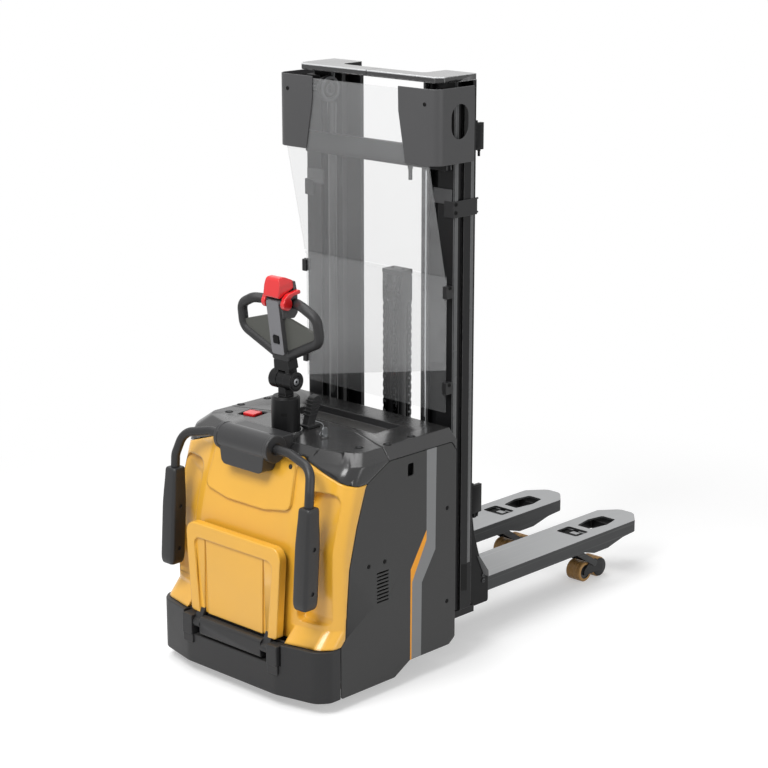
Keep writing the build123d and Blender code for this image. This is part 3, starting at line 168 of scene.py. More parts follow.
WHITE, MODEST = (1.0, 1.0, 1.0, 1.0), 0.40
world = bpy.data.worlds.new("studio")
bpy.context.scene.world = world
world.use_nodes = True
room = world.node_tree
room.nodes.clear()
surround = add(room, "ShaderNodeBackground", label="soft surround", Color=WHITE, Strength=MODEST)
backdrop = add(room, "ShaderNodeBackground", label="white backdrop", Color=WHITE, Strength=1.0)
add(room, "ShaderNodeOutputWorld", blended(room, seen_directly(room), surround, backdrop), out=None)

floor_mesh = bpy.data.meshes.new("floor")
floor_mesh.from_pydata([(-40, -40, 0), (40, -40, 0), (40, 40, 0), (-40, 40, 0)], [], [(0, 1, 2, 3)])
floor = placed("floor", floor_mesh)
floor_paint = bpy.data.materials.new("pale_floor")
floor_paint.use_nodes = True
ground = floor_paint.node_tree
ground.nodes.clear()
matt = add(ground, "ShaderNodeBsdfDiffuse", label="matt floor", Color=(0.66, 0.66, 0.66, 1.0))
glow = add(ground, "ShaderNodeEmission", label="paper white", Color=WHITE, Strength=MODEST)
far_white = add(ground, "ShaderNodeEmission", label="white further off", Color=WHITE, Strength=1.0)
near = add(ground, "ShaderNodeAddShader", matt, glow)
reach = add(ground, "ShaderNodeVectorMath", object_place(ground), operation="LENGTH", out="Value")
away = add(ground, "ShaderNodeMapRange", label="distance from the truck", interpolation_type="SMOOTHSTEP",
           Value=reach, From_Min=1.5, From_Max=2.8)
looked_at = blended(ground, away, near, far_white)
add(ground, "ShaderNodeOutputMaterial", blended(ground, seen_directly(ground), matt, looked_at), out=None)
floor_mesh.materials.append(floor_paint)
print("floor and room")

# %% Lamps
TRUCK_HEART = at(300, 0, 800)
for name, place, size, watts in (("key_box", at(-3000, -500, 4300), 2.2, 185.0),
                                 ("side_box", at(900, -5200, 2200), 2.6, 60.0),
                                 ("top_box", at(700, 900, 5200), 3.0, 120.0)):
    lamp_data = bpy.data.lights.new(name, "AREA")
    lamp_data.shape, lamp_data.size, lamp_data.energy = "SQUARE", size, watts
    lamp = placed(name, lamp_data)
    lamp.location = place
    lamp.rotation_euler = (TRUCK_HEART - place).to_track_quat("-Z", "Y").to_euler()
print("three soft boxes")

# %% [markdown]
# ## Effects that many finishes share
# Grain, rubbed edges, settled dust and drag marks turn up all over a truck. Each is a node group with named
# inputs, built once, so a finish only says how much of it there is. The groups put out masks and heights, and the
# shader itself stays in the material.


# %% Group helpers
def new_group(kind, name, inputs, outputs):
    """An empty node group. A float input gets that default, and any other socket says of what kind it is."""
    tree = bpy.data.node_groups.new(name, kind)
    for label, value in inputs.items():
        number = isinstance(value, float)
        socket = tree.interface.new_socket(name=label, in_out="INPUT",
                                           socket_type="NodeSocket" + ("Float" if number else value))
        if number:
            socket.default_value = value
    for label, sort in outputs.items():
        tree.interface.new_socket(name=label, in_out="OUTPUT", socket_type="NodeSocket" + sort)
    return tree, tree.nodes.new("NodeGroupInput").outputs, tree.nodes.new("NodeGroupOutput").inputs


def mask_group(name, **inputs):
    """A shader group that puts out one mask."""
    inputs = {label.replace("_", " "): value for label, value in inputs.items()}
    return new_group("ShaderNodeTree", name, inputs, {"Mask": "Float"})


def put_mask(tree, given, out, mask):
    plug(tree, maths(tree, "MULTIPLY", mask, given["Amount"], clamp=True), out["Mask"])
    return tree


def cloud(tree, scale, place, detail, roughness):
    """Noise whose scale comes from a group input."""
    return add(tree, "ShaderNodeTexNoise", Vector=place, Scale=scale, Detail=detail, Roughness=roughness, out="Fac")


# %% Grain
def build_grain():
    """Fine moulded or sprayed grain, with a slow drift that breaks up large panels."""
    tree, given, out = new_group("ShaderNodeTree", "surface_grain", {"Scale": 900.0, "Drift Scale": 4.0},
                                 {"Height": "Float", "Drift": "Float"})
    place = object_place(tree)
    cells = add(tree, "ShaderNodeTexVoronoi", Vector=place, Scale=given["Scale"], out="Distance")
    pits = maths(tree, "MULTIPLY", cells, 0.6)
    plug(tree, maths(tree, "ADD", cloud(tree, given["Scale"], place, 3.0, 0.6), pits), out["Height"])
    plug(tree, cloud(tree, given["Drift Scale"], place, 4.0, 0.55), out["Drift"])
    return tree


GRAIN = build_grain()
print("group:", GRAIN.name)


# %% Rubbed edges
def build_wear():
    """A mask along sharp edges, broken up by noise, because paint rubs through on corners first."""
    tree, given, out = mask_group("rubbed_edges", Radius=0.003, Amount=0.5, Break_Up=60.0)
    flat = add(tree, "ShaderNodeNewGeometry", out="Normal")
    rounded = add(tree, "ShaderNodeBevel", samples=4, Radius=given["Radius"])
    facing = add(tree, "ShaderNodeVectorMath", rounded, flat, operation="DOT_PRODUCT", out="Value")
    turned = maths(tree, "SUBTRACT", 1.0, facing, clamp=True)
    patches = cloud(tree, given["Break Up"], object_place(tree), 5.0, 0.65)
    high = maths(tree, "SUBTRACT", patches, 0.38, clamp=True)
    rubbed = maths(tree, "MULTIPLY", high, 5.0, clamp=True)
    edge = maths(tree, "MULTIPLY", maths(tree, "MULTIPLY", turned, 6.0, clamp=True), rubbed)
    return put_mask(tree, given, out, edge)


WEAR = build_wear()
print("group:", WEAR.name)


# %% Dust and drag marks
def build_dust():
    """Dust that settles on faces that look up, thicker in some places than in others."""
    tree, given, out = mask_group("settled_dust", Amount=0.2, Scale=14.0)
    normal = add(tree, "ShaderNodeNewGeometry", out="Normal")
    upward = maths(tree, "SUBTRACT", add(tree, "ShaderNodeSeparateXYZ", normal, out="Z"), 0.2, clamp=True)
    patches = cloud(tree, given["Scale"], object_place(tree), 6.0, 0.6)
    return put_mask(tree, given, out, maths(tree, "MULTIPLY", upward, patches))


def build_drag():
    """Long thin scratches along the truck, as pallets and sliding parts leave them."""
    tree, given, out = mask_group("drag_marks", Amount=0.4, Scale=3.0)
    stretch = add(tree, "ShaderNodeMapping", label="long in x", Vector=object_place(tree), Scale=(0.5, 60.0, 60.0))
    lines = cloud(tree, given["Scale"], stretch, 2.0, 0.5)
    thin = maths(tree, "SUBTRACT", lines, 0.56, clamp=True)
    return put_mask(tree, given, out, maths(tree, "MULTIPLY", thin, 6.0, clamp=True))


DUST, DRAG = build_dust(), build_drag()
print("groups:", DUST.name, DRAG.name)

# %% [markdown]
# ## Finishes
# A finish is a main colour with a slow drift through it, a colour where its edges are rubbed, and numbers for
# roughness, coat and grain depth. Moulded covers have a fine grain, painted steel has a slight orange peel under a
# coat, and rubber is matt. Numbers that are the same all over go straight onto the shader, and only what changes
# over the surface comes from the groups.

# %% Finish helpers
FINISH = {}
DUST_COLOUR = "b9b4a8"
COAT_ROUGHNESS = 0.14


def mix_colour(tree, mask, first, second):
    """A colour between two others. The inputs in between are for other kinds of value."""
    other_kinds = [None] * 5
    return add(tree, "ShaderNodeMix", mask, *other_kinds, first, second, data_type="RGBA", out=2)


def effect(tree, group, **values):
    """A shared group placed in a material with its own values."""
    return add(tree, "ShaderNodeGroup", node_tree=group, out=None, **values)


def new_finish(name):
    FINISH[name] = bpy.data.materials.new(name)
    FINISH[name].use_nodes = True
    return FINISH[name].node_tree


def set_shader(tree, **values):
    """Give values to the shader of a finish."""
    shader = tree.nodes["Principled BSDF"]
    for name, value in values.items():
        plug(tree, value, shader.inputs[name.replace("_", " ")])


# %% Finish builder
def finish(name, colour, rough, drift, grain, depth, worn=None, wear=0.0, dust=0.0, drag=0.0, metallic=0.0, coat=0.0,
           specular=0.5, spread=0.12, drift_scale=4.0, rounded=0.0, edge=3.0):
    """A procedural finish built from the shared groups. Rounded is a moulding's corner radius and edge the width of
    the rubbed line along an edge, both in millimetres."""
    tree = new_finish(name)
    base = srgb(colour)[:3]
    deep = tuple(c * (1 - drift) for c in base) + (1.0,)
    pale = tuple(min(1.0, c * (1 + drift)) for c in base) + (1.0,)
    texture = effect(tree, GRAIN, Scale=grain, Drift_Scale=drift_scale)
    paint = mix_colour(tree, texture["Drift"], deep, pale)
    layers = ((WEAR, worn, {"Amount": wear, "Radius": edge / 1000}), (DRAG, worn, {"Amount": drag}),
              (DUST, DUST_COLOUR, {"Amount": dust}))
    for group, tint, values in layers:
        if values["Amount"]:
            paint = mix_colour(tree, effect(tree, group, **values)["Mask"], paint, srgb(tint))
    sheen = maths(tree, "MULTIPLY", texture["Drift"], spread * 2)
    corners = None
    if rounded:
        corners = add(tree, "ShaderNodeBevel", label="moulded corners", samples=8, Radius=rounded / 1000)
    bump = add(tree, "ShaderNodeBump", label="grain", Strength=depth, Distance=0.001, Height=texture["Height"],
               Normal=corners)
    set_shader(tree, Base_Color=paint, Roughness=maths(tree, "ADD", sheen, rough - spread, clamp=True), Normal=bump,
               Metallic=metallic, Coat_Weight=coat, Coat_Roughness=COAT_ROUGHNESS, Specular_IOR_Level=specular)


# %% [markdown]
# ### Moulded plastics
# The hood, the panels and the bumper are moulded plastic. The yellow cover is smooth with a clear coat, the side
# panels have a fine leathery grain that hardly shines, and the top covers are polished black. A mould has wide
# round corners, so these finishes also turn the shading over smoothly across an edge. Each line gives the colour,
# the numbers for roughness, drift, grain scale and grain depth, and the colour of rubbed edges.

# %% Moulded plastics
finish("cover_yellow", "e3aa34", 0.34, 0.05, 1400, 0.02, "b87c1a", wear=0.15, dust=0.04, coat=0.5, rounded=11)
finish("platform_yellow", "e3aa34", 0.36, 0.06, 700, 0.04, "a87f2c", wear=0.2, dust=0.04, coat=0.4, rounded=8)
finish("panel_charcoal", "3b3b3b", 0.5, 0.08, 1500, 0.1, "5c5c5c", wear=0.3, dust=0.04, specular=0.25, rounded=5)
finish("cover_black", "1e1e1f", 0.25, 0.12, 1500, 0.03, "4a4a4a", wear=0.3, dust=0.02, coat=0.2, specular=0.45,
       rounded=9)
finish("tray_black", "2c2c2d", 0.36, 0.14, 900, 0.1, dust=0.1, specular=0.35)
finish("bumper_black", "272728", 0.46, 0.12, 800, 0.1, "5b5b5b", wear=0.4, dust=0.06, specular=0.3, rounded=6)
finish("housing_black", "303031", 0.32, 0.1, 1200, 0.04, "4d4d4d", wear=0.3, specular=0.4, rounded=6)
finish("stripe_grey", "7f8081", 0.45, 0.05, 1500, 0.06, specular=0.3)
finish("stripe_orange", "f0a02a", 0.4, 0.05, 1500, 0.04, specular=0.3)
finish("signal_red", "cf1a1e", 0.3, 0.08, 1300, 0.03, "ee7168", wear=0.3, coat=0.4, rounded=6)
finish("head_grey", "4a4a4b", 0.48, 0.08, 1600, 0.12, "6c6c6c", wear=0.3, specular=0.3, rounded=3)
finish("infill_grey", "4f504c", 0.5, 0.06, 1600, 0.1, specular=0.25)
finish("spine_grey", "737376", 0.45, 0.06, 1600, 0.08, specular=0.3)
finish("case_grey", "3a3b3d", 0.55, 0.12, 900, 0.12)
print(len(FINISH), "finishes so far")

# %% [markdown]
# ### Rubber and paint
# Grips, pads and treads are rubber or a hard brown polyurethane, with a coarse grain. The mast, the brackets and
# the frame are steel under black paint, and the fork tops are light paint scratched by pallets.

# %% Rubber and treads
finish("grip_black", "252526", 0.5, 0.1, 2200, 0.2, "4a4a4a", wear=0.3, specular=0.35)
finish("pad_rubber", "232324", 0.42, 0.1, 1800, 0.14, "454545", wear=0.3, specular=0.4)
finish("mat_rubber", "242424", 0.75, 0.2, 700, 0.4, dust=0.2, specular=0.2)
finish("tread_brown", "b58a50", 0.4, 0.16, 300, 0.08, "5d3d18", wear=0.4, dust=0.08, drift_scale=20, specular=0.35)
finish("tread_dark", "4c381f", 0.6, 0.2, 300, 0.15, dust=0.2, specular=0.25)
# Near-black for black parts and dark joints. On the steering column slot, the column foot plates and the screw rings it
# is painted shade.
finish("black_and_painted_shade", "0c0c0c", 0.6, 0.1, 1200, 0.1, specular=0.15)
print(len(FINISH), "finishes so far")

# %% Paint and metal
finish("mast_black", "151516", 0.34, 0.14, 500, 0.05, "6a6a6a", wear=0.45, dust=0.01, specular=0.18)
# A lighter grey that paints a highlight on the rounded upright edges and on strips along the columns.
finish("mast_painted_highlight", "545556", 0.3, 0.12, 500, 0.04, "8c8c8c", wear=0.4, specular=0.4)
finish("carriage_black", "121213", 0.4, 0.16, 450, 0.08, "626262", wear=0.3, specular=0.12)
# On the bridge the rubbed-edge colour, near white at full amount, is a painted highlight along its edges, and the next
# finish paints a highlight on its top bevels.
finish("bridge_black", "1c1c1d", 0.2, 0.1, 700, 0.02, "d8d8d8", wear=1.0, coat=0.4, spread=0.06, edge=6)
finish("bridge_painted_highlight", "a9aaab", 0.24, 0.08, 700, 0.02, coat=0.5, spread=0.06)
finish("shroud_black", "444445", 0.42, 0.08, 1200, 0.06, "6a6a6a", wear=0.35, specular=0.3)
finish("bracket_black", "1b1b1c", 0.44, 0.1, 1200, 0.08, "5a5a5a", wear=0.35, specular=0.3)
finish("frame_black", "262628", 0.5, 0.2, 400, 0.12, "747474", wear=0.4, dust=0.1, specular=0.3)
finish("cylinder_black", "161617", 0.16, 0.1, 900, 0.01, "6a6a6a", wear=0.2, coat=0.6, spread=0.05)
finish("fork_grey", "a3a4a5", 0.42, 0.05, 500, 0.05, "c6c6c6", wear=0.4, drag=0.16, drift_scale=9, specular=0.35)
finish("fork_side", "353637", 0.46, 0.12, 500, 0.08, "8c8c8c", wear=0.5, drag=0.15, specular=0.3)
finish("steel", "8e9092", 0.34, 0.12, 600, 0.05, metallic=1.0, drift_scale=30)
finish("dark_steel", "48494a", 0.42, 0.16, 600, 0.06, metallic=0.8, drift_scale=30)
finish("dark_chrome", "4c4d4e", 0.16, 0.05, 900, 0.01, metallic=1.0, spread=0.04)
finish("chrome", "d4d6d8", 0.12, 0.05, 900, 0.01, metallic=1.0, spread=0.04)
finish("cast_iron", "454546", 0.62, 0.2, 260, 0.35, metallic=0.4)
finish("alloy", "a5a7a9", 0.45, 0.12, 400, 0.12, metallic=0.9)
print(len(FINISH), "finishes")

# %% [markdown]
# ### The clear mast guard
# The guard is two sheets of clear plastic that lap over each other. They mirror the pale room, and that reflection is
# painted into the sheets as a milky grey veil with a slow patchy drift, so the mast behind them looks lighter than it
# is. A see-through alpha with a grey colour gives that painted reflection in a way that other viewers read too. The
# painted veil is thinner on the upper sheet, in the lap between the sheets it is shared by both, and in the lowest
# band, where the sheet mirrors the dark hood, it is nearly clear, a painted reflection of the hood's shade.

# %% Clear sheet
LAP_Z, LAP_HALF, UPPER_Z = 1.397, 0.0085, 1.40
HOOD_REFLECTION_Z, HOOD_REFLECTION_SLOPE = 1.0, 0.2
veil_tree = new_finish("clear_sheet_painted_reflection")
veil_drift = effect(veil_tree, GRAIN, Scale=60.0, Drift_Scale=3.0)["Drift"]
spot = add(veil_tree, "ShaderNodeSeparateXYZ", object_place(veil_tree), out=None)
lap = maths(veil_tree, "COMPARE", spot["Z"], LAP_Z, LAP_HALF)
upper = maths(veil_tree, "GREATER_THAN", spot["Z"], UPPER_Z)
sloped = maths(veil_tree, "ADD", spot["Z"], maths(veil_tree, "MULTIPLY", spot["Y"], HOOD_REFLECTION_SLOPE))
hood_reflection_band = maths(veil_tree, "LESS_THAN", sloped, HOOD_REFLECTION_Z)
share = 1.0
# Painted reflection: the veil is thinner on the upper sheet, halved in the lap, and nearly gone in the low band that
# mirrors the dark hood.
for mask, cut in ((upper, 0.28), (lap, 0.5), (hood_reflection_band, 0.72)):
    share = maths(veil_tree, "SUBTRACT", share, maths(veil_tree, "MULTIPLY", mask, cut))
painted_reflection_veil = maths(veil_tree, "ADD", maths(veil_tree, "MULTIPLY", veil_drift, 0.05), 0.185)
haze = maths(veil_tree, "ADD", maths(veil_tree, "MULTIPLY", veil_drift, 0.06), 0.03)
set_shader(veil_tree, Base_Color=mix_colour(veil_tree, veil_drift, srgb("b4b5b6"), srgb("cbcccd")), Roughness=haze,
           Alpha=maths(veil_tree, "MULTIPLY", painted_reflection_veil, share))
print("clear film")

# %% [markdown]
# ## Softened copies of the solids
# A CAD solid has edges of no width, and real pressed, moulded and welded parts never do. A copy of each solid gets
# a rounded edge from the Bevel modifier, which catches the light along every corner. The flat triangles are first
# joined into whole faces, so that the bevel has clean edges to follow, and each edge is rounded only as far as the
# narrower face beside it allows. Where many edges crowd into a corner a bevel can still fold over. Such folds are
# looked for after each try, and the edges around them are rounded less.


# %% Reading a solid
def clean_copy(node):
    """A merged copy of a solid, with its flat triangles joined into whole faces."""
    bm = bmesh.new()
    bm.from_mesh(frame["nodes"][node].data)
    bmesh.ops.remove_doubles(bm, verts=bm.verts, dist=2e-5)
    bmesh.ops.dissolve_limit(bm, angle_limit=math.radians(0.5), verts=bm.verts, edges=bm.edges)
    return bm


def room_beside(edge):
    """How far the narrower of the two faces at an edge reaches away from it."""
    start, end = (vert.co for vert in edge.verts)
    along = (end - start).normalized()
    reaches = []
    for face in edge.link_faces:
        inward = face.normal.cross(along)
        reaches.append(max(abs((vert.co - start).dot(inward)) for vert in face.verts))
    return min(reaches)


def shade(mesh, crease):
    """Smooth faces, with edges sharper than the crease, in degrees, kept crisp."""
    bm = bmesh.new()
    bm.from_mesh(mesh)
    for face in bm.faces:
        face.smooth = True
    for edge in bm.edges:
        edge.smooth = len(edge.link_faces) == 2 and edge.calc_face_angle(0.0) < math.radians(crease)
    bm.to_mesh(mesh)
    bm.free()


def evaluated(thing):
    """The mesh that a thing's modifiers make of it."""
    bpy.context.view_layer.update()
    return bpy.data.meshes.new_from_object(thing.evaluated_get(bpy.context.evaluated_depsgraph_get()))


def apply_modifiers(piece):
    """Make the modifiers of a piece permanent."""
    old, piece.data = piece.data, evaluated(piece)
    piece.modifiers.clear()
    bpy.data.meshes.remove(old)


# %% Finding folds
def folds(mesh, skin, width):
    """Where a bevel went wrong: at faces that look the wrong way, and at corners far from the solid."""
    places = []
    for face in mesh.polygons:
        if len(face.vertices) < 5 and face.area > 1e-8:
            _, normal, _, far = skin.find_nearest(face.center)
            if far < width and face.normal.dot(normal) < 0.1:
                places += [mesh.vertices[i].co.copy() for i in face.vertices]
    stray = {vert.index for vert in mesh.vertices if skin.find_nearest(vert.co)[3] > 0.6 * width + 2e-4}
    for edge in mesh.edges:
        if stray.intersection(edge.vertices):
            places += [mesh.vertices[i].co.copy() for i in edge.vertices]
    return places


def ease(bm, weight, places, reach):
    """Round the edges near some places less."""
    tree = KDTree(len(places))
    for index, place in enumerate(places):
        tree.insert(place, index)
    tree.balance()
    for edge in bm.edges:
        if edge[weight] and min(tree.find(vert.co)[2] for vert in edge.verts) < reach:
            edge[weight] = edge[weight] * 0.4 if edge[weight] > 0.1 else 0.0


# %% Softening helpers
EASINGS = 10


def bevelled(name, bm, material, width, crease, segments):
    """A mesh with its weighted edges rounded, as a piece."""
    mesh = bpy.data.meshes.new(name)
    bm.to_mesh(mesh)
    mesh.materials.append(FINISH[material])
    shade(mesh, crease)
    piece = placed(name, mesh)
    edges = piece.modifiers.new("edges", "BEVEL")
    edges.width, edges.segments = width, segments
    edges.limit_method = "WEIGHT"
    edges.use_clamp_overlap = False
    edges.harden_normals = True
    edges.miter_outer = "MITER_ARC"
    apply_modifiers(piece)
    return piece


def soften(node, material, width=1.5, crease=30.0, segments=2, cuts=()):
    """A copy of a solid with rounded edges and a finish, standing in for it. Cuts score flat faces for colours."""
    width /= 1000
    bm = clean_copy(node)
    for point, normal in cuts:
        bmesh.ops.bisect_plane(bm, geom=bm.verts[:] + bm.edges[:] + bm.faces[:], dist=1e-6, plane_co=point,
                               plane_no=normal)
    bm.normal_update()
    weight = bm.edges.layers.float.new("bevel_weight_edge")
    for edge in bm.edges:
        if len(edge.link_faces) == 2 and edge.calc_face_angle(0.0) >= math.radians(crease):
            edge[weight] = min(1.0, 0.35 * room_beside(edge) / width)
    skin = BVHTree.FromBMesh(bm)
    for step in range(EASINGS + 1):
        piece = bevelled(node + "_soft", bm, material, width, crease, segments)
        places = folds(piece.data, skin, width)
        if not places or step == EASINGS:
            break
        ease(bm, weight, places, (2.5 + 1.5 * step) * width)
        bpy.data.objects.remove(piece)
    if places:
        print("  ", node, "keeps", len(places), "folded corners")
    bm.free()
    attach(piece, BODY_OF[node])
    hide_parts(node)
    return piece


def soften_all(finish_of, **how):
    """Soften several solids in the same way."""
    made = {node: soften(node, material, **how) for node, material in finish_of.items()}
    for node, piece in made.items():
        low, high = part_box(node)
        excess = max(max(low[i] - corner[i], corner[i] - high[i]) for corner in piece.bound_box for i in range(3))
        if excess > 2e-4:
            print("  ", node, "grew by", round(excess * 1000, 2), "mm")
    print(len(made), "softened:", ", ".join(made))
    return made


# %% [markdown]
# ## Colours that stop on a line
# Some pieces carry two finishes, such as a light fork top on a dark fork or a trim stripe on a side panel. The
# faces of the softened copy are picked by where they are and which way they look, and get a second material. Where
# a colour stops in the middle of a flat face, the face is scored first along that line.


# %% Colour helpers
def recolour(piece, material, test):
    """Give a finish to the faces whose middle, on the drawing, and direction pass a test."""
    mesh = piece.data
    if FINISH[material] not in list(mesh.materials):
        mesh.materials.append(FINISH[material])
    index = list(mesh.materials).index(FINISH[material])
    picked = [face for face in mesh.polygons if test(drawn(face.center), face.normal)]
    for face in picked:
        face.material_index = index
    print("  ", len(picked), "faces of", piece.name, "are", material)


def sides_of(outline):
    """The sides of an outline drawn on a side view, each as two ends."""
    return zip(outline, outline[1:] + outline[:1])


def inside(outline, x, z):
    """Whether a place on a side view lies inside an outline."""
    crossings = 0
    for (x0, z0), (x1, z1) in sides_of(outline):
        if (z0 > z) != (z1 > z) and x < x0 + (z - z0) * (x1 - x0) / (z1 - z0):
            crossings += 1
    return crossings % 2 == 1


def side_cuts(outline):
    """Planes along the sides of an outline drawn on a side view."""
    return [(at(x0, 0, z0), Vector((z1 - z0, 0, x0 - x1)).normalized()) for (x0, z0), (x1, z1) in sides_of(outline)]


# %% [markdown]
# ## The hood: yellow cover, top covers and bumper
# The operator's side is one yellow moulding with a raised shield and bays behind the grip pads. Above it lie two
# polished black covers, and below it a bumper skirt. Moulded corners are generous, so these pieces get wide soft
# edges.

# %% Hood
hood = soften_all({"front_cover": "cover_yellow"}, width=4.0, segments=3, crease=24.0)
hood |= soften_all({"dashboard_cover": "cover_black", "battery_lid": "cover_black"}, width=4.0, segments=3)
hood |= soften_all({"bumper_skirt": "bumper_black", "platform_hinge_covers": "bumper_black"}, width=3.0)
hood |= soften_all({"arm_housing": "housing_black"}, width=5.0, segments=3)
hood |= soften_all({"platform_plate": "platform_yellow"}, width=4.0, segments=3)
hood |= soften_all({"platform_mat": "mat_rubber"}, width=1.5)
recolour(hood["platform_plate"], "bumper_black", lambda p, n: p.z < 232)
recolour(hood["battery_lid"], "tray_black", lambda p, n: 330 < p.x < 478 and -252 < p.y < 187 and p.z < 872.5)

# %% [markdown]
# ## Side panels with their stripe
# Each side panel carries a grey stripe that bends down the middle, with a thin orange wedge in front of it. On the
# real panel these are painted fields, flush with the plastic, so they are scored into the flat face and not added
# on top.

# %% Side panels
GREY_STRIPE = [(420.5, 840), (470.5, 840), (467, 462), (398, 356), (395, 76), (346, 76), (349, 371), (421, 507)]
ORANGE_WEDGE = [(421, 543), (421, 507), (349, 371), (346, 76), (339.5, 76), (341, 418)]
for side, _ in SIDES:
    panel = soften("side_panel_" + side, "panel_charcoal", width=2.0,
                   cuts=side_cuts(GREY_STRIPE) + side_cuts(ORANGE_WEDGE))
    recolour(panel, "stripe_grey", lambda p, n: inside(GREY_STRIPE, p.x, p.z))
    recolour(panel, "stripe_orange", lambda p, n: inside(ORANGE_WEDGE, p.x, p.z))
    hood["side_panel_" + side] = panel

# %% [markdown]
# ## Guard arms and pads
# Two bent tubes carry long rubber pads for the operator's hips. A pad is poured round the tube in a mould: it swells
# from a narrow neck, keeps its width and closes in a round foot. Rounded squares stacked along its axis give that
# shape, and four dimples are then cut where the mould held the tube.

# %% Guard arms
soften_all({"guard_arm_left": "pad_rubber", "guard_arm_right": "pad_rubber"}, width=1.5)
PAD_X, PAD_Y, PAD_TOP = -69, 336, 722
PAD_LEAN = math.radians(3.8)
# Each ring is a depth below the top of the pad and a width.
PAD_RINGS = [(-0.5, 44), (0.8, 49), (4, 53), (12, 55), (40, 57), (85, 62), (125, 65.5), (150, 66), (318, 66),
             (332, 64.5), (342, 60), (348, 54), (350, 48)]
DIMPLES = [(depth, across) for depth in (136.5, 290.5) for across in (-33, 33)]


def pad_place(sign, depth, across, side):
    """A place on a grip pad: down its axis, across the truck and along it."""
    return at(PAD_X - depth * math.sin(PAD_LEAN) + side, sign * PAD_Y + across, PAD_TOP - depth * math.cos(PAD_LEAN))


def rounded_square(width, steps=6):
    """The corners of a square with round corners, in order."""
    radius, corners = 0.2 * width, []
    reach = width / 2 - radius
    for quarter in range(4):
        for step in range(steps + 1):
            turn = math.pi / 2 * (quarter + step / steps)
            middle = (reach if quarter in (0, 3) else -reach, reach if quarter in (0, 1) else -reach)
            corners.append((middle[0] + radius * math.cos(turn), middle[1] + radius * math.sin(turn)))
    return corners


# %% Grip pads
def new_mesh(name, bm, *finishes):
    """A worked mesh, with its finishes."""
    mesh = bpy.data.meshes.new(name)
    bm.to_mesh(mesh)
    bm.free()
    for material in finishes:
        mesh.materials.append(FINISH[material])
    return mesh


def grip_pad(name, sign):
    bm, rings = bmesh.new(), []
    for depth, width in PAD_RINGS:
        rings.append([bm.verts.new(pad_place(sign, depth, y, x)) for x, y in rounded_square(width)])
    for above, below in zip(rings, rings[1:]):
        for i in range(len(above)):
            j = (i + 1) % len(above)
            bm.faces.new((above[i], above[j], below[j], below[i]))
    bm.faces.new(rings[0])
    bm.faces.new(rings[-1])
    bmesh.ops.recalc_face_normals(bm, faces=bm.faces)
    pins = bmesh.new()
    for depth, across in DIMPLES:
        spot = Matrix.Translation(pad_place(sign, depth, across, 0)) @ Matrix.Rotation(math.pi / 2, 4, "X")
        bmesh.ops.create_cone(pins, cap_ends=True, segments=20, radius1=0.008, radius2=0.008, depth=0.010, matrix=spot)
    mould_pins = placed("mould_pins", new_mesh("mould_pins", pins))
    pad = placed(name + "_poured", new_mesh(name + "_poured", bm, "pad_rubber"))
    dimples = pad.modifiers.new("dimples", "BOOLEAN")
    dimples.operation = "DIFFERENCE"
    dimples.object = mould_pins
    apply_modifiers(pad)
    bpy.data.objects.remove(mould_pins)
    shade(pad.data, 38.0)
    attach(pad, BODY_OF[name])
    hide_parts(name)


for side, sign in SIDES:
    grip_pad("guard_pad_" + side, sign)
print("grip pads poured")

# %% [markdown]
# ## Tiller and controls
# The operator steers with a tiller arm. Its head has a loop for the hands, a light spine plate, dull infill panels
# and a red safety cap whose back is dark. The tiller leans towards the operator, so a helper turns a place on the
# truck into a place on the upright tiller, where the pieces are easy to tell apart.

# %% Tiller frame
TILLER_HUB = Vector((152.0, 0.0, 1058.0))
LEAN_BACK = Matrix.Rotation(math.radians(7.8), 3, "Y")


def on_tiller(p):
    """A place on the drawing as a place on the upright tiller, counted from its hub."""
    return LEAN_BACK @ (p - TILLER_HUB)


# %% Tiller
SLOT = Vector((150, 0, 945))
SLOT_LOW, SLOT_HIGH, SLOT_HALF = 939, 950, 10
column_spot = Vector((-42.0, -33.0, 0.0)).normalized()
column_side = Vector((-column_spot.y, column_spot.x, 0.0))
slot_cuts = [(at(SLOT.x, 0, z), Vector((0, 0, 1))) for z in (SLOT_LOW, SLOT_HIGH)]
slot_cuts += [(at(*(SLOT + column_side * reach)), column_side) for reach in (-SLOT_HALF, SLOT_HALF)]
column = soften("steering_column", "mast_black", width=2.0, cuts=slot_cuts)
# Painted shade: the slot is not cut, and the column's outward faces inside its outline get the near-black finish.
recolour(column, "black_and_painted_shade", lambda p, n: SLOT_LOW < p.z < SLOT_HIGH and n.dot(column_spot) > 0.9
         and abs((p - SLOT).dot(column_side)) < SLOT_HALF + 0.5)
tiller = soften_all({"tiller_arm": "mast_black", "handle_loop": "grip_black", "control_head": "head_grey",
                     "butterfly_switch": "signal_red", "creep_button": "black_and_painted_shade"}, width=2.0)
tiller |= soften_all({"belly_button": "signal_red"}, width=5.0, segments=3)
recolour(tiller["control_head"], "spine_grey", lambda p, n: on_tiller(p).x < -12.5 and on_tiller(p).z < 293)
recolour(tiller["control_head"], "infill_grey", lambda p, n: abs(p.y) > 30.5 and on_tiller(p).z < 228
         and on_tiller(p).x < 16)
recolour(tiller["belly_button"], "grip_black", lambda p, n: on_tiller(p).x > 40)
soften_all({"emergency_stop_button": "signal_red", "ignition_key": "steel", "battery_plug": "grip_black"}, width=2.0)

# %% [markdown]
# ## Mast, guard and cylinders
# The mast is two nested pairs of rolled channels under black paint, with a bridge over the top. Rolled and sawn
# steel has narrow edges, so the bevel is small. The rounded upright edges of the columns get a lighter grey, a painted
# highlight. The two lift cylinders behind the columns are polished, and the one bright line from top to bottom beside
# the right one is a painted highlight, made by a chrome pipe further down. The bridge is made of two halves that meet
# in the middle, and its top edges carry a painted highlight.

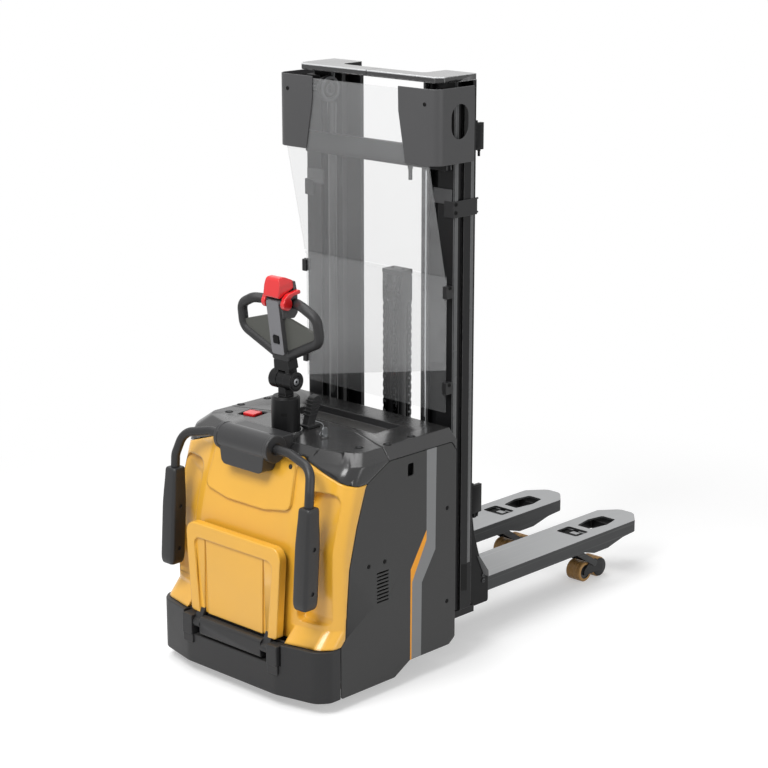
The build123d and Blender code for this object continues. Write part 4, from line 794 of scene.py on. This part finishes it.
# %% Mast
BRIDGE_LOW = 2062
mast = soften_all({"mast_outer": "mast_black"}, width=4.0, segments=3)
mast |= soften_all({"guard_brackets": "bracket_black", "lift_frame": "mast_black",
                    "carriage_frame": "carriage_black", "free_lift_barrel": "mast_black",
                    "free_lift_crosshead": "mast_black"}, width=2.0)
mast |= soften_all({"lift_cylinder_barrels": "cylinder_black", "mast_rollers": "steel",
                    "carriage_rollers": "steel"}, width=1.5)
recolour(mast["guard_brackets"], "shroud_black", lambda p, n: p.z > 1790)
bridge_cuts = [(at(600, y, 2070), Vector((0, 1, 0))) for y in (-1.5, 1.5)]
inner = soften("mast_inner", "mast_black", width=4.5, segments=3, cuts=bridge_cuts)
recolour(inner, "bridge_black", lambda p, n: p.z > BRIDGE_LOW)
# Painted highlight: the bevels along the bridge's top edges get a light grey.
recolour(inner, "bridge_painted_highlight", lambda p, n: p.z > 2080 and 0.15 < n.z < 0.98)
recolour(inner, "black_and_painted_shade", lambda p, n: abs(p.y) < 1.4 and p.z > 2060)
# Painted highlight: bevel faces on the upright edges that turn between the front and the side get a lighter grey.
for piece in (mast["mast_outer"], inner):
    recolour(piece, "mast_painted_highlight", lambda p, n: abs(n.x) > 0.3 and abs(n.y) > 0.3 and abs(n.z) < 0.2
             and p.z < BRIDGE_LOW)

# %% Forks
forks = soften_all({"fork_left": "fork_side", "fork_right": "fork_side"}, width=2.5)
for fork in forks.values():
    recolour(fork, "fork_grey", lambda p, n: n.z > 0.6 and 205 < p.z < 214)
soften_all({"load_arm_left": "fork_side", "load_arm_right": "fork_side", "load_bogie_left": "bracket_black",
            "load_bogie_right": "bracket_black", "castor_fork_left": "dark_steel",
            "castor_fork_right": "dark_steel"}, width=1.0)
soften_all({"drive_tyre": "tread_dark", "drive_hub": "cast_iron", "drive_gearbox": "cast_iron"}, width=2.5)

# %% [markdown]
# ## Solids that keep their own shape
# Parts inside the hood and plain turned rods already have the right shape, so they only get a finish. A solid's
# own mesh is never changed: the material goes into its slot.

# %% Painted solids
PAINTED = {
    "base_frame": "frame_black", "battery_pack": "case_grey", "pump_and_controller": "alloy",
    "initial_lift_barrel": "mast_black", "drive_motor": "mast_black", "mast_guard": "clear_sheet_painted_reflection",
    "lift_cylinder_rods": "dark_chrome", "push_rods": "steel",
}
for node, material in PAINTED.items():
    slots = frame["nodes"][node].data.materials
    slots.clear()
    slots.append(FINISH[material])
print(len(PAINTED), "painted as they are")

# %% [markdown]
# ## Turned wheels
# Load rollers and castor wheels are turned: a tread is cast round a hub, grooves are cut into it and the hub is
# dished. A closed profile swept round the axle makes all of that in one go, and each strip of the profile has its
# own finish.


# %% Lathe
def set_down(name, bm, finishes, body, crease=35.0):
    """A worked mesh as a piece of the truck that rides on a body."""
    mesh = new_mesh(name, bm, *finishes)
    shade(mesh, crease)
    piece = placed(name, mesh)
    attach(piece, body)
    return piece


def strip(material, *points):
    """Points of a profile, each along and away from its axis, that share a finish."""
    return [(along, radius, material) for along, radius in points]


def lathe(name, body, centre, axis, profile, segments=48):
    """A turned piece: a closed profile, in millimetres, swept round an axis."""
    along = Vector(axis)
    side = along.orthogonal().normalized()
    finishes = list(dict.fromkeys(point[2] for point in profile))
    bm = bmesh.new()
    rings = []
    for step in range(segments):
        out = Matrix.Rotation(2 * math.pi * step / segments, 3, along) @ side
        rings.append([bm.verts.new(at(*centre) + (along * a + out * r) / 1000) for a, r, _ in profile])
    for ring, beyond in zip(rings, rings[1:] + rings[:1]):
        for i, (_, _, material) in enumerate(profile):
            j = (i + 1) % len(profile)
            face = bm.faces.new((ring[i], ring[j], beyond[j], beyond[i]))
            face.material_index = finishes.index(material)
    bmesh.ops.recalc_face_normals(bm, faces=bm.faces)
    return set_down(name, bm, finishes, body)


# %% Wheels
ROLLER_HALF = strip("tread_brown", (1.5, 38.6), (3.0, 40.0), (15.5, 40.0), (17.0, 38.6), (20.0, 38.6), (21.5, 40.0),
                    (31.0, 40.0), (34.0, 37.0), (34.0, 29.0))
ROLLER_HALF += strip("dark_steel", (33.0, 28.0), (30.0, 27.5), (30.0, 16.0), (33.5, 15.0), (33.5, 10.2))
CASTOR_HALF = strip("tread_dark", (10.0, 50.0), (15.0, 49.0), (18.0, 45.5), (18.0, 37.0))
CASTOR_HALF += strip("alloy", (16.5, 36.0), (13.0, 35.0), (13.0, 18.0), (17.5, 16.0), (17.5, 8.2))


def both_faces(half):
    """A wheel's profile from one half of it, mirrored to the other side of its middle."""
    back = [(-half[i + 1][0], half[i + 1][1], half[i][2]) for i in range(len(half) - 2, -1, -1)]
    return half + [(-half[-1][0], half[-1][1], half[-1][2])] + back


for kind, slot, half in (("load_wheel_", "load_tread", ROLLER_HALF), ("castor_wheel_", "castor_tread", CASTOR_HALF)):
    for name in [node for node in BODY_OF if node.startswith(kind)]:
        low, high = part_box(name)
        wheel = lathe(name + "_turned", BODY_OF[name], drawn((low + high) / 2), (0, 1, 0), both_faces(half))
        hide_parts(name)
print("load rollers and castor wheels turned")

# %% [markdown]
# ## Rings, caps and the hose pulley
# The ends of the arm housing and of the tiller hub are closed by turned caps. High on the mast a grooved pulley
# guides the hoses to the carriage, on a bolt that stands on a small bracket.

# %% Turned caps
COLLAR = strip("housing_black", (-15.0, 46.0), (-14.0, 48.4), (0.0, 48.4), (1.8, 46.6), (1.8, 19.0), (-1.0, 19.0),
               (-1.0, 46.0))
CAP = strip("steel", (-1.0, 5.0), (1.4, 5.0))
CAP += strip("mast_black", (1.4, 12.0), (0.4, 13.5), (0.4, 19.5), (2.2, 21.5), (2.2, 27.0), (0.0, 30.0), (-1.0, 30.0))
for side, sign in SIDES:
    lathe("arm_collar_" + side, "chassis", (-22, sign * 130, 871), (0, sign, 0), COLLAR)
    lathe("tiller_cap_" + side, "tiller", (152, sign * 52, 1058), (0, sign, 0), CAP)
print("collars and caps")


# %% Worked blocks
def brick(bm, low, high):
    """A block between two corners on the drawing."""
    a, b = at(*low), at(*high)
    for vert in bmesh.ops.create_cube(bm, size=1.0)["verts"]:
        vert.co = Vector([a[i] if vert.co[i] < 0 else b[i] for i in range(3)])


def peg(bm, start, end, radius, segments=20):
    """A round bar between two places on the drawing."""
    a, b = at(*start), at(*end)
    turn = (b - a).to_track_quat("Z", "Y").to_matrix().to_4x4()
    bmesh.ops.create_cone(bm, cap_ends=True, segments=segments, radius1=radius / 1000, radius2=radius / 1000,
                          depth=(b - a).length, matrix=Matrix.Translation((a + b) / 2) @ turn)


def slab(bm, outline, near, far):
    """A plate with an outline in x and z between two places across."""
    rings = [[bm.verts.new(at(x, y, z)) for x, z in outline] for y in (near, far)]
    bm.faces.new(rings[0])
    bm.faces.new(rings[1][::-1])
    for i in range(len(outline)):
        j = (i + 1) % len(outline)
        bm.faces.new((rings[0][j], rings[0][i], rings[1][i], rings[1][j]))
    bmesh.ops.recalc_face_normals(bm, faces=bm.faces)


def worked(name, body, material, shapes, rounding=0.0, after=()):
    """A piece put together from shapes, with its sharp edges rounded before the last of them are added."""
    bm = bmesh.new()
    for make, *sizes in shapes:
        make(bm, *sizes)
    if rounding:
        sharp = [edge for edge in bm.edges if edge.calc_face_angle(0.0) > math.radians(40)]
        bmesh.ops.bevel(bm, geom=sharp, offset=rounding / 1000, segments=2, profile=0.5, affect="EDGES",
                        clamp_overlap=True)
    for make, *sizes in after:
        make(bm, *sizes)
    set_down(name, bm, [material], body)


# %% Hose pulley
PULLEY = strip("dark_steel", (-12.0, 9.0)) + strip("mast_black", (-12.0, 20.0), (-9.0, 22.0), (-9.0, 33.0))
PULLEY += strip("dark_steel", (-12.0, 35.0), (-12.0, 44.5))
PULLEY += strip("mast_black", (-9.0, 44.5), (-4.0, 36.0), (4.0, 36.0), (9.0, 44.5), (12.0, 44.5), (12.0, 9.0))
PULLEY_X, PULLEY_Z = 560, 2004
lathe("hose_pulley", "lift_frame", (PULLEY_X, 193, PULLEY_Z), (0, 1, 0), PULLEY)
worked("hose_pulley_bracket", "lift_frame", "mast_black", [
    (peg, (PULLEY_X, 178, PULLEY_Z), (PULLEY_X, 300, PULLEY_Z), 9),
    (peg, (PULLEY_X, 176, PULLEY_Z), (PULLEY_X, 181, PULLEY_Z), 14, 6),
    (brick, (540, 290, 1984), (611, 300, 2024))], rounding=1.5)
print("hose pulley")

# %% [markdown]
# ## Pipes and a cap for the free-lift cylinder
# The cylinder that lifts the carriage stands alone in the middle of the mast. Thin pipes are clipped along it, a flat
# cap covers the sheaves on its crosshead, and a straight bright chrome pipe beside the lift cylinder on the right
# stands in for that cylinder's highlight line, a painted highlight. All are bars and plates with their edges broken,
# as they come from the saw.

# %% Pipes and cap
TOWER_X, PIPE_TOP = 711.0, 1246
pipes = []
for x in (TOWER_X - 25, TOWER_X + 25):
    for y in (-26, 26):
        pipes += [(peg, (x, y, 330), (x, y, PIPE_TOP), 4, 12), (peg, (x, y, 1206), (x, y, PIPE_TOP), 5.5, 6)]
worked("cylinder_pipes", "inner_mast", "mast_black", pipes)
CLIP = strip("carriage_black", (-7.0, 32.5), (-7.0, 36.0), (7.0, 36.0), (7.0, 32.5))
GLAND = strip("dark_steel", (0.0, 24.0)) + strip("mast_black", (0.0, 35.5), (17.0, 35.5))
GLAND += strip("dark_steel", (20.0, 32.5), (20.0, 24.0))
for name, z, profile in (("pipe_clip_low", 640, CLIP), ("pipe_clip_high", 1130, CLIP), ("cylinder_gland", 1230, GLAND)):
    lathe(name, "inner_mast", (TOWER_X, 0, z), (0, 0, 1), profile)
worked("sheave_cap", "crosshead", "mast_black", [(brick, (679, -46, 1345), (743, 46, 1364))],
       rounding=3.0)
# Painted highlight: a bright chrome pipe that stands in for the right lift cylinder's highlight line.
worked("painted_highlight_pipe", "lift_frame", "chrome", [(peg, (597, -243, 420), (597, -243, 1758), 3.6, 16)])
print("pipes, clips and cap")

# %% [markdown]
# ## Strap plates
# Behind each strap of the guard a short plate ties it to the rear flange of the column, and two bolt ends show at
# the front edge of the strap.

# %% Strap plates
for side, sign in SIDES:
    near, far = sorted((sign * 268, sign * 352))
    shapes = [(brick, (606, near, 1650), (611.5, far, 1702))]
    shapes += [(peg, (724, sign * 361, z), (732, sign * 361, z), 3.5, 10) for z in (1612, 1660)]
    worked("strap_plate_" + side, "lift_frame", "shroud_black", shapes, rounding=1.0)
print("strap plates")

# %% [markdown]
# ## Painted highlight strips, painted shade plates and heel plates
# Two thin light strips along the outer side of each rolled channel are a painted highlight, and a thin near-black
# plate at its foot is painted shade in an opening. On each gusset of the carriage a bent plate stiffens the slanted
# front edge above the fork's heel.

# %% Highlight strips, shade plates and heel plates
COLUMN_Y = 357.5
HIGHLIGHT_LOW, HIGHLIGHT_HIGH = 337, 2030
HIGHLIGHT_STRIPS = [[(rear, HIGHLIGHT_LOW), (front, HIGHLIGHT_LOW), (front, HIGHLIGHT_HIGH), (rear, HIGHLIGHT_HIGH)]
         for rear, front in ((616, 633), (698, 713))]
FOOT_SHADE_PLATE = [(668, 238), (699, 231), (699, 332), (668, 338)]
HEEL_PLATE = [(788, 332), (806, 323), (853, 259), (854, 236), (827, 250)]
for side, sign in SIDES:
    # Painted highlight: thin light strips laid on the column's outer face.
    highlight_strips = [(slab, highlight_outline, sign * COLUMN_Y, sign * 358.6) for highlight_outline in HIGHLIGHT_STRIPS]
    worked("column_highlight_strips_" + side, "lift_frame", "mast_painted_highlight", highlight_strips, rounding=0.5)
    # Painted shade: a thin near-black plate on the column face stands for the dark opening at its foot.
    worked("foot_shade_plate_" + side, "lift_frame", "black_and_painted_shade",
           [(slab, FOOT_SHADE_PLATE, sign * COLUMN_Y, sign * 358.3)])
    worked("heel_plate_" + side, "carriage", "shroud_black",
           [(slab, HEEL_PLATE, sign * 325.5, sign * 329)], rounding=1.0)
print("rails and heel plates")

# %% [markdown]
# ## Roller cheeks and leg straps
# A round cheek on each side of a bogie covers the face of its front roller. Under the small window of each fork a
# strap lies across the leg, above the load arm's highest place, and carries the ends of the linkage.

# %% Cheeks and straps
FORK_Y = 191
ROLLER_X, ROLLER_Z = 1649, 40
STRAP_REAR, STRAP_FRONT = 1472, 1579
LINKS = [(1555, 27, 1573, 62), (1520, -17, 1545, 17), (1551, -31, 1570, -2)]
for side, sign in SIDES:
    y = sign * FORK_Y
    worked("bogie_cheeks_" + side, "load_bogie_" + side, "bracket_black",
           [(peg, (ROLLER_X, y + 35 * face, ROLLER_Z), (ROLLER_X, y + 39.8 * face, ROLLER_Z), 36.5, 40)
            for face in (-1, 1)], rounding=1.0)
    strap = [(brick, (STRAP_REAR, y - 75, 199.4), (STRAP_FRONT, y + 75, 201)),
             (brick, (1520, y + 17, 200.8), (1545, y + 46, 202.2))]
    strap += [(brick, (STRAP_REAR, y + wall - 4, 195.8), (STRAP_FRONT, y + wall + 4, 199.6)) for wall in (-71, 71)]
    worked("leg_strap_" + side, "lift_frame", "black_and_painted_shade", strap)
    worked("leg_links_" + side, "lift_frame", "fork_grey",
           [(brick, (rear, y + low, 200.8), (front, y + high, 203.2)) for rear, low, front, high in LINKS],
           rounding=0.8)
print("cheeks and straps")

# %% [markdown]
# ## Limit switches on the mast
# Two small switch boxes sit on the front flange of the right column and feel where the carriage is. Each is a
# cast box with a lid, a plunger below and a cable gland above.

# %% Limit switches
for name, front, low, high, pin in (("limit_switch_upper", 764, 1825, 1918, 1802),
                                    ("limit_switch_lower", 776, 513, 618, 497)):
    x = front - 16
    worked(name, "lift_frame", "carriage_black",
           [(brick, (721, -357, low), (front, -341, high)),
            (brick, (727, -358, low + 6), (front - 6, -356, high - 6)),
            (brick, (721, -355, high - 2), (735, -343, high + 9))], rounding=1.6,
           after=[(peg, (x, -349, pin), (x, -349, low + 1), 4.5),
                  (peg, (x, -349, low - 5), (x, -349, low + 1), 6.5, 6)])
worked("cable_stub", "lift_frame", "cylinder_black",
       [(peg, (603, -163, 1716), (603, -163, 1766), 7), (peg, (603, -163, 1754), (603, -163, 1766), 10, 6)])
print("limit switches")

# %% [markdown]
# ## Wire loop on the dashboard
# A thin bent wire keeps the battery lead in place beside the plug. A curve with a round section follows its few
# points, and is then made into a mesh.


# %% Wire loop
def merged(mesh):
    """A made mesh with its doubled corners joined and its faces looking out."""
    bm = bmesh.new()
    bm.from_mesh(mesh)
    bmesh.ops.remove_doubles(bm, verts=bm.verts, dist=1e-6)
    bmesh.ops.recalc_face_normals(bm, faces=bm.faces)
    return bm


WIRE = [(262, 26, 871), (264, 24, 877), (300, 18, 877.5), (296, -40, 877.5), (238, -92, 877), (200, -116, 877),
        (198, -117, 871)]
wire_curve = bpy.data.curves.new("lead_wire", "CURVE")
wire_curve.dimensions = "3D"
wire_curve.bevel_depth, wire_curve.bevel_resolution = 0.0016, 3
wire_curve.use_fill_caps = True
wire_path = wire_curve.splines.new("NURBS")
wire_path.points.add(len(WIRE) - 1)
for point, place in zip(wire_path.points, WIRE):
    point.co = (*at(*place), 1.0)
wire_path.order_u = 3
wire_path.use_endpoint_u = True
wire_guide = placed("lead_wire_guide", wire_curve)
wire_mesh = evaluated(wire_guide)
bpy.data.objects.remove(wire_guide)
set_down("lead_wire", merged(wire_mesh), ["steel"], "chassis", crease=60.0)
print("lead wire")

# %% [markdown]
# ## Screws
# The covers, brackets and straps are held by socket screws. They repeat, so one Geometry Nodes tree makes the
# head: a disc is drawn up, its rim is drawn in, and a socket is sunk into it. The tree puts a head on every point it
# is given and turns it to look along the point's own direction.


# %% Geometry Nodes helpers
def geometry_tree(name, sizes):
    """A tree with a geometry going in and out, and named sizes."""
    return new_group("GeometryNodeTree", name, {"Geometry": "Geometry", **sizes, "Finish": "Material"},
                     {"Geometry": "Geometry"})


def joined(tree, *parts):
    node = tree.nodes.new("GeometryNodeJoinGeometry")
    for part in parts:
        plug(tree, part, node.inputs[0])
    return node.outputs[0]


def close_tree(tree, given, out, **on_points):
    """End a tree with a copy on every point, made into plain geometry with its finish."""
    copies = add(tree, "GeometryNodeInstanceOnPoints", **on_points)
    real = add(tree, "GeometryNodeRealizeInstances", copies)
    plug(tree, add(tree, "GeometryNodeSetMaterial", Geometry=real, Material=given["Finish"]), out[0])
    return tree


def grown(name, tree, mesh, sizes, material, body):
    """What a tree makes of a mesh, as a plain piece that rides on a body."""
    seed = placed(name + "_seed", mesh)
    nodes = seed.modifiers.new("grow", "NODES")
    nodes.node_group = tree
    values = {**sizes, "Finish": FINISH[material]}
    for item in tree.interface.items_tree:
        if item.in_out == "INPUT" and item.name in values:
            nodes[item.identifier] = values[item.name]
    made = evaluated(seed)
    bpy.data.objects.remove(seed)
    bm = merged(made)
    for face in bm.faces:
        face.material_index = 0
    return set_down(name, bm, [material], body)


# %% Screw tree
RIM = 0.84


def build_screws():
    """A round head with a drawn-in rim and a sunk socket on every point."""
    sizes = {"Head Radius": 0.006, "Head Height": 0.003, "Socket Radius": 0.003, "Socket Depth": 0.002}
    tree, given, out = geometry_tree("socket_screws", sizes)
    radius, height, socket, sink = (given[label] for label in sizes)
    upward = add(tree, "ShaderNodeCombineXYZ", Z=1.0)

    def draw(mesh, rise, **top):
        made = add(tree, "GeometryNodeExtrudeMesh", mode="FACES", Mesh=mesh, Offset=upward, Offset_Scale=rise,
                   Individual=False, out=None, **top)
        return made["Mesh"], made["Top"]

    def draw_in(mesh, top, share):
        return add(tree, "GeometryNodeScaleElements", domain="FACE", Geometry=mesh, Selection=top, Scale=share)

    disc = add(tree, "GeometryNodeMeshCircle", fill_type="NGON", Vertices=18, Radius=radius)
    mesh, top = draw(disc, maths(tree, "MULTIPLY", height, 0.65))
    mesh, top = draw(mesh, maths(tree, "MULTIPLY", height, 0.35), Selection=top)
    mesh, top = draw(draw_in(mesh, top, RIM), 0.0, Selection=top)
    mesh = draw_in(mesh, top, maths(tree, "DIVIDE", socket, maths(tree, "MULTIPLY", radius, RIM)))
    mesh, top = draw(mesh, maths(tree, "MULTIPLY", sink, -1.0), Selection=top)
    head = joined(tree, mesh, add(tree, "GeometryNodeFlipFaces", disc))
    facing = add(tree, "GeometryNodeInputNamedAttribute", data_type="FLOAT_VECTOR", Name="facing", out="Attribute")
    turn = add(tree, "FunctionNodeAlignRotationToVector", axis="Z", Vector=facing)
    return close_tree(tree, given, out, Points=given["Geometry"], Instance=head, Rotation=turn)


SCREWS = build_screws()
print("tree:", SCREWS.name)


# %% Screw helpers
def struck(piece, direction, starts):
    """Where lines from places on the drawing meet a piece, and which way its surface looks there."""
    mesh = piece.data
    skin = BVHTree.FromPolygons([v.co for v in mesh.vertices], [tuple(p.vertices) for p in mesh.polygons])
    hits = [skin.ray_cast(at(*start), Vector(direction))[:2] for start in starts]
    return [hit for hit in hits if hit[0] is not None]


def screw_set(name, body, spots, material, radius, height, socket=0.5):
    """One mesh of screws on the given places. Socket is its share of the radius: a wide one makes a cup."""
    mesh = bpy.data.meshes.new(name)
    mesh.from_pydata([place for place, _ in spots], [], [])
    facing = mesh.attributes.new("facing", "FLOAT_VECTOR", "POINT")
    for item, (_, normal) in zip(facing.data, spots):
        item.vector = normal
    sizes = {"Head Radius": radius / 1000, "Head Height": height / 1000, "Socket Radius": radius * socket / 1000,
             "Socket Depth": height * 0.7 / 1000}
    grown(name, SCREWS, mesh, sizes, material, body)
    print(len(spots), "screws:", name)


# %% Screws on the hood
FAR_SIDE, ABOVE = 600, 1200
PANEL_SCREWS = [(528, 597), (530, 251), (134, 482), (212, 481)]
LID_SCREWS = [(275, -366), (275, 366), (400, -360), (400, 360)]
cover_spots = struck(hood["front_cover"], (1, 0, 0), [(-400, y, 815) for y in (-176, 176)])
panel_spots = []
for side, sign in SIDES:
    starts = [(x, sign * FAR_SIDE, z) for x, z in PANEL_SCREWS]
    panel_spots += struck(hood["side_panel_" + side], (0, -sign, 0), starts)
top_spots = struck(hood["dashboard_cover"], (0, 0, -1), [(180, y, ABOVE) for y in (-325, 325)])
top_spots += struck(hood["battery_lid"], (0, 0, -1), [(x, y, ABOVE) for x, y in LID_SCREWS])
# Painted shade: near-black rings round the cover and top screws stand for their shaded recesses.
for name, spots, material, radius, height, socket in (
        ("cover_screws", cover_spots, "dark_steel", 6.0, 2.2, 0.5),
        ("cover_screw_cups", cover_spots, "black_and_painted_shade", 8.5, 1.2, 0.8),
        ("panel_screws", panel_spots, "black_and_painted_shade", 7.5, 1.6, 0.5),
        ("top_screws", top_spots, "dark_steel", 6.5, 2.0, 0.5),
        ("top_screw_cups", top_spots, "black_and_painted_shade", 15.0, 1.0, 0.5)):
    screw_set(name, "chassis", spots, material, radius, height, socket)

# %% Screws on the mast and carriage
guard_spots = struck(mast["guard_brackets"], (1, 0, 0), [(300, y, 2001) for y in (-330, 330)])
heel_spots = []
for sign in (-1, 1):
    y, across = sign * FAR_SIDE, (0, -sign, 0)
    starts = [(616, y, 1622), (616, y, 1651), (597, y, 1017), (597, y, 1362)]
    guard_spots += struck(mast["guard_brackets"], across, starts)
    heel_spots += struck(mast["carriage_frame"], across, [(826, y, z) for z in (227, 248)])
screw_set("guard_screws", "lift_frame", guard_spots, "black_and_painted_shade", radius=7.0, height=2.5)
screw_set("heel_bolts", "carriage", heel_spots, "dark_steel", radius=8.0, height=4.0)

# %% [markdown]
# ## Leaf chains
# The carriage hangs on two leaf chains that run up behind the free-lift cylinder, over the crosshead's sheaves and
# down to the carriage. A leaf chain is nothing but flat links and pins, so a second tree places one link group
# after another along a path: outer plates, inner plates half a step further on, and two pins.

# %% Chain tree
PITCH = 0.0159
# Each plate has a place across the chain, in plate thicknesses, and one along it, in pitches.
PLATES = [(-2.5, 0.0), (2.5, 0.0), (-1.25, 1.0), (0.0, 1.0), (1.25, 1.0)]


def build_chain():
    """Link plates and pins set along a path."""
    sizes = {"Pitch": PITCH, "Plate Radius": 0.0045, "Plate Thickness": 0.0022}
    tree, given, out = geometry_tree("leaf_chain", sizes)
    pitch, radius, thick = (given[label] for label in sizes)
    sideways = add(tree, "FunctionNodeEulerToRotation", (math.pi / 2, 0.0, 0.0))

    def bars(middle, y, size, depth):
        """Two short round bars along y, half a pitch before and after the middle."""
        made = []
        for half in (-0.5, 0.5):
            rod = add(tree, "GeometryNodeMeshCylinder", Vertices=8, Radius=size, Depth=depth)
            spot = add(tree, "ShaderNodeCombineXYZ", Y=y, Z=maths(tree, "MULTIPLY", pitch, middle + half))
            made.append(add(tree, "GeometryNodeTransform", Geometry=rod, Translation=spot, Rotation=sideways))
        return made

    parts = []
    for side, middle in PLATES:
        ends = bars(middle, maths(tree, "MULTIPLY", thick, side), radius, thick)
        parts.append(add(tree, "GeometryNodeConvexHull", joined(tree, *ends)))
    parts += bars(0.0, 0.0, maths(tree, "MULTIPLY", radius, 0.5), maths(tree, "MULTIPLY", thick, 6.3))
    path = add(tree, "GeometryNodeMeshToCurve", Mesh=given["Geometry"])
    steps = add(tree, "GeometryNodeCurveToPoints", mode="LENGTH", Curve=path,
                Length=maths(tree, "MULTIPLY", pitch, 2.0), out=None)
    stand = add(tree, "FunctionNodeAlignRotationToVector", axis="Z", Vector=steps["Tangent"])
    face = add(tree, "FunctionNodeAlignRotationToVector", axis="Y", pivot_axis="Z", Vector=(0.0, 1.0, 0.0),
               Rotation=stand)
    return close_tree(tree, given, out, Points=steps["Points"], Instance=joined(tree, *parts), Rotation=face)


CHAIN = build_chain()
print("tree:", CHAIN.name)


# %% Chain runs
def chain_run(name, body, path):
    """A chain on each sheave along a path drawn in side view."""
    mesh = bpy.data.meshes.new(name)
    places, edges = [], []
    for y in (-25, 25):
        start = len(places)
        places += [at(x, y, z) for x, z in path]
        edges += [(start + i, start + i + 1) for i in range(len(path) - 1)]
    mesh.from_pydata(places, edges, [])
    return grown(name, CHAIN, mesh, {"Pitch": PITCH}, "dark_steel", body)


SHEAVE_Z, CHAIN_R, CHAIN_LOW = 1318.0, 38.0, 572
STEP = 31.8
rear_x, front_x = TOWER_X - CHAIN_R, TOWER_X + CHAIN_R
arch = []
for turn in range(0, 181, 12):
    lean = math.radians(180 - turn)
    arch.append((TOWER_X + CHAIN_R * math.cos(lean), SHEAVE_Z + CHAIN_R * math.sin(lean)))
chain_run("chain_rear_fixed", "inner_mast", [(rear_x, SHEAVE_Z - 33 * STEP), (rear_x, SHEAVE_Z - STEP)])
chain_run("chain_rear_moving", "crosshead", [(rear_x, SHEAVE_Z - 20 * STEP), (rear_x, SHEAVE_Z - STEP)])
over = chain_run("chain_over_sheaves", "crosshead", arch)
front_run = chain_run("chain_front", "crosshead", [(front_x, CHAIN_LOW), (front_x, SHEAVE_Z - 14)])
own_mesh(front_run)
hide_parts("free_lift_chains")
print("four chain runs")
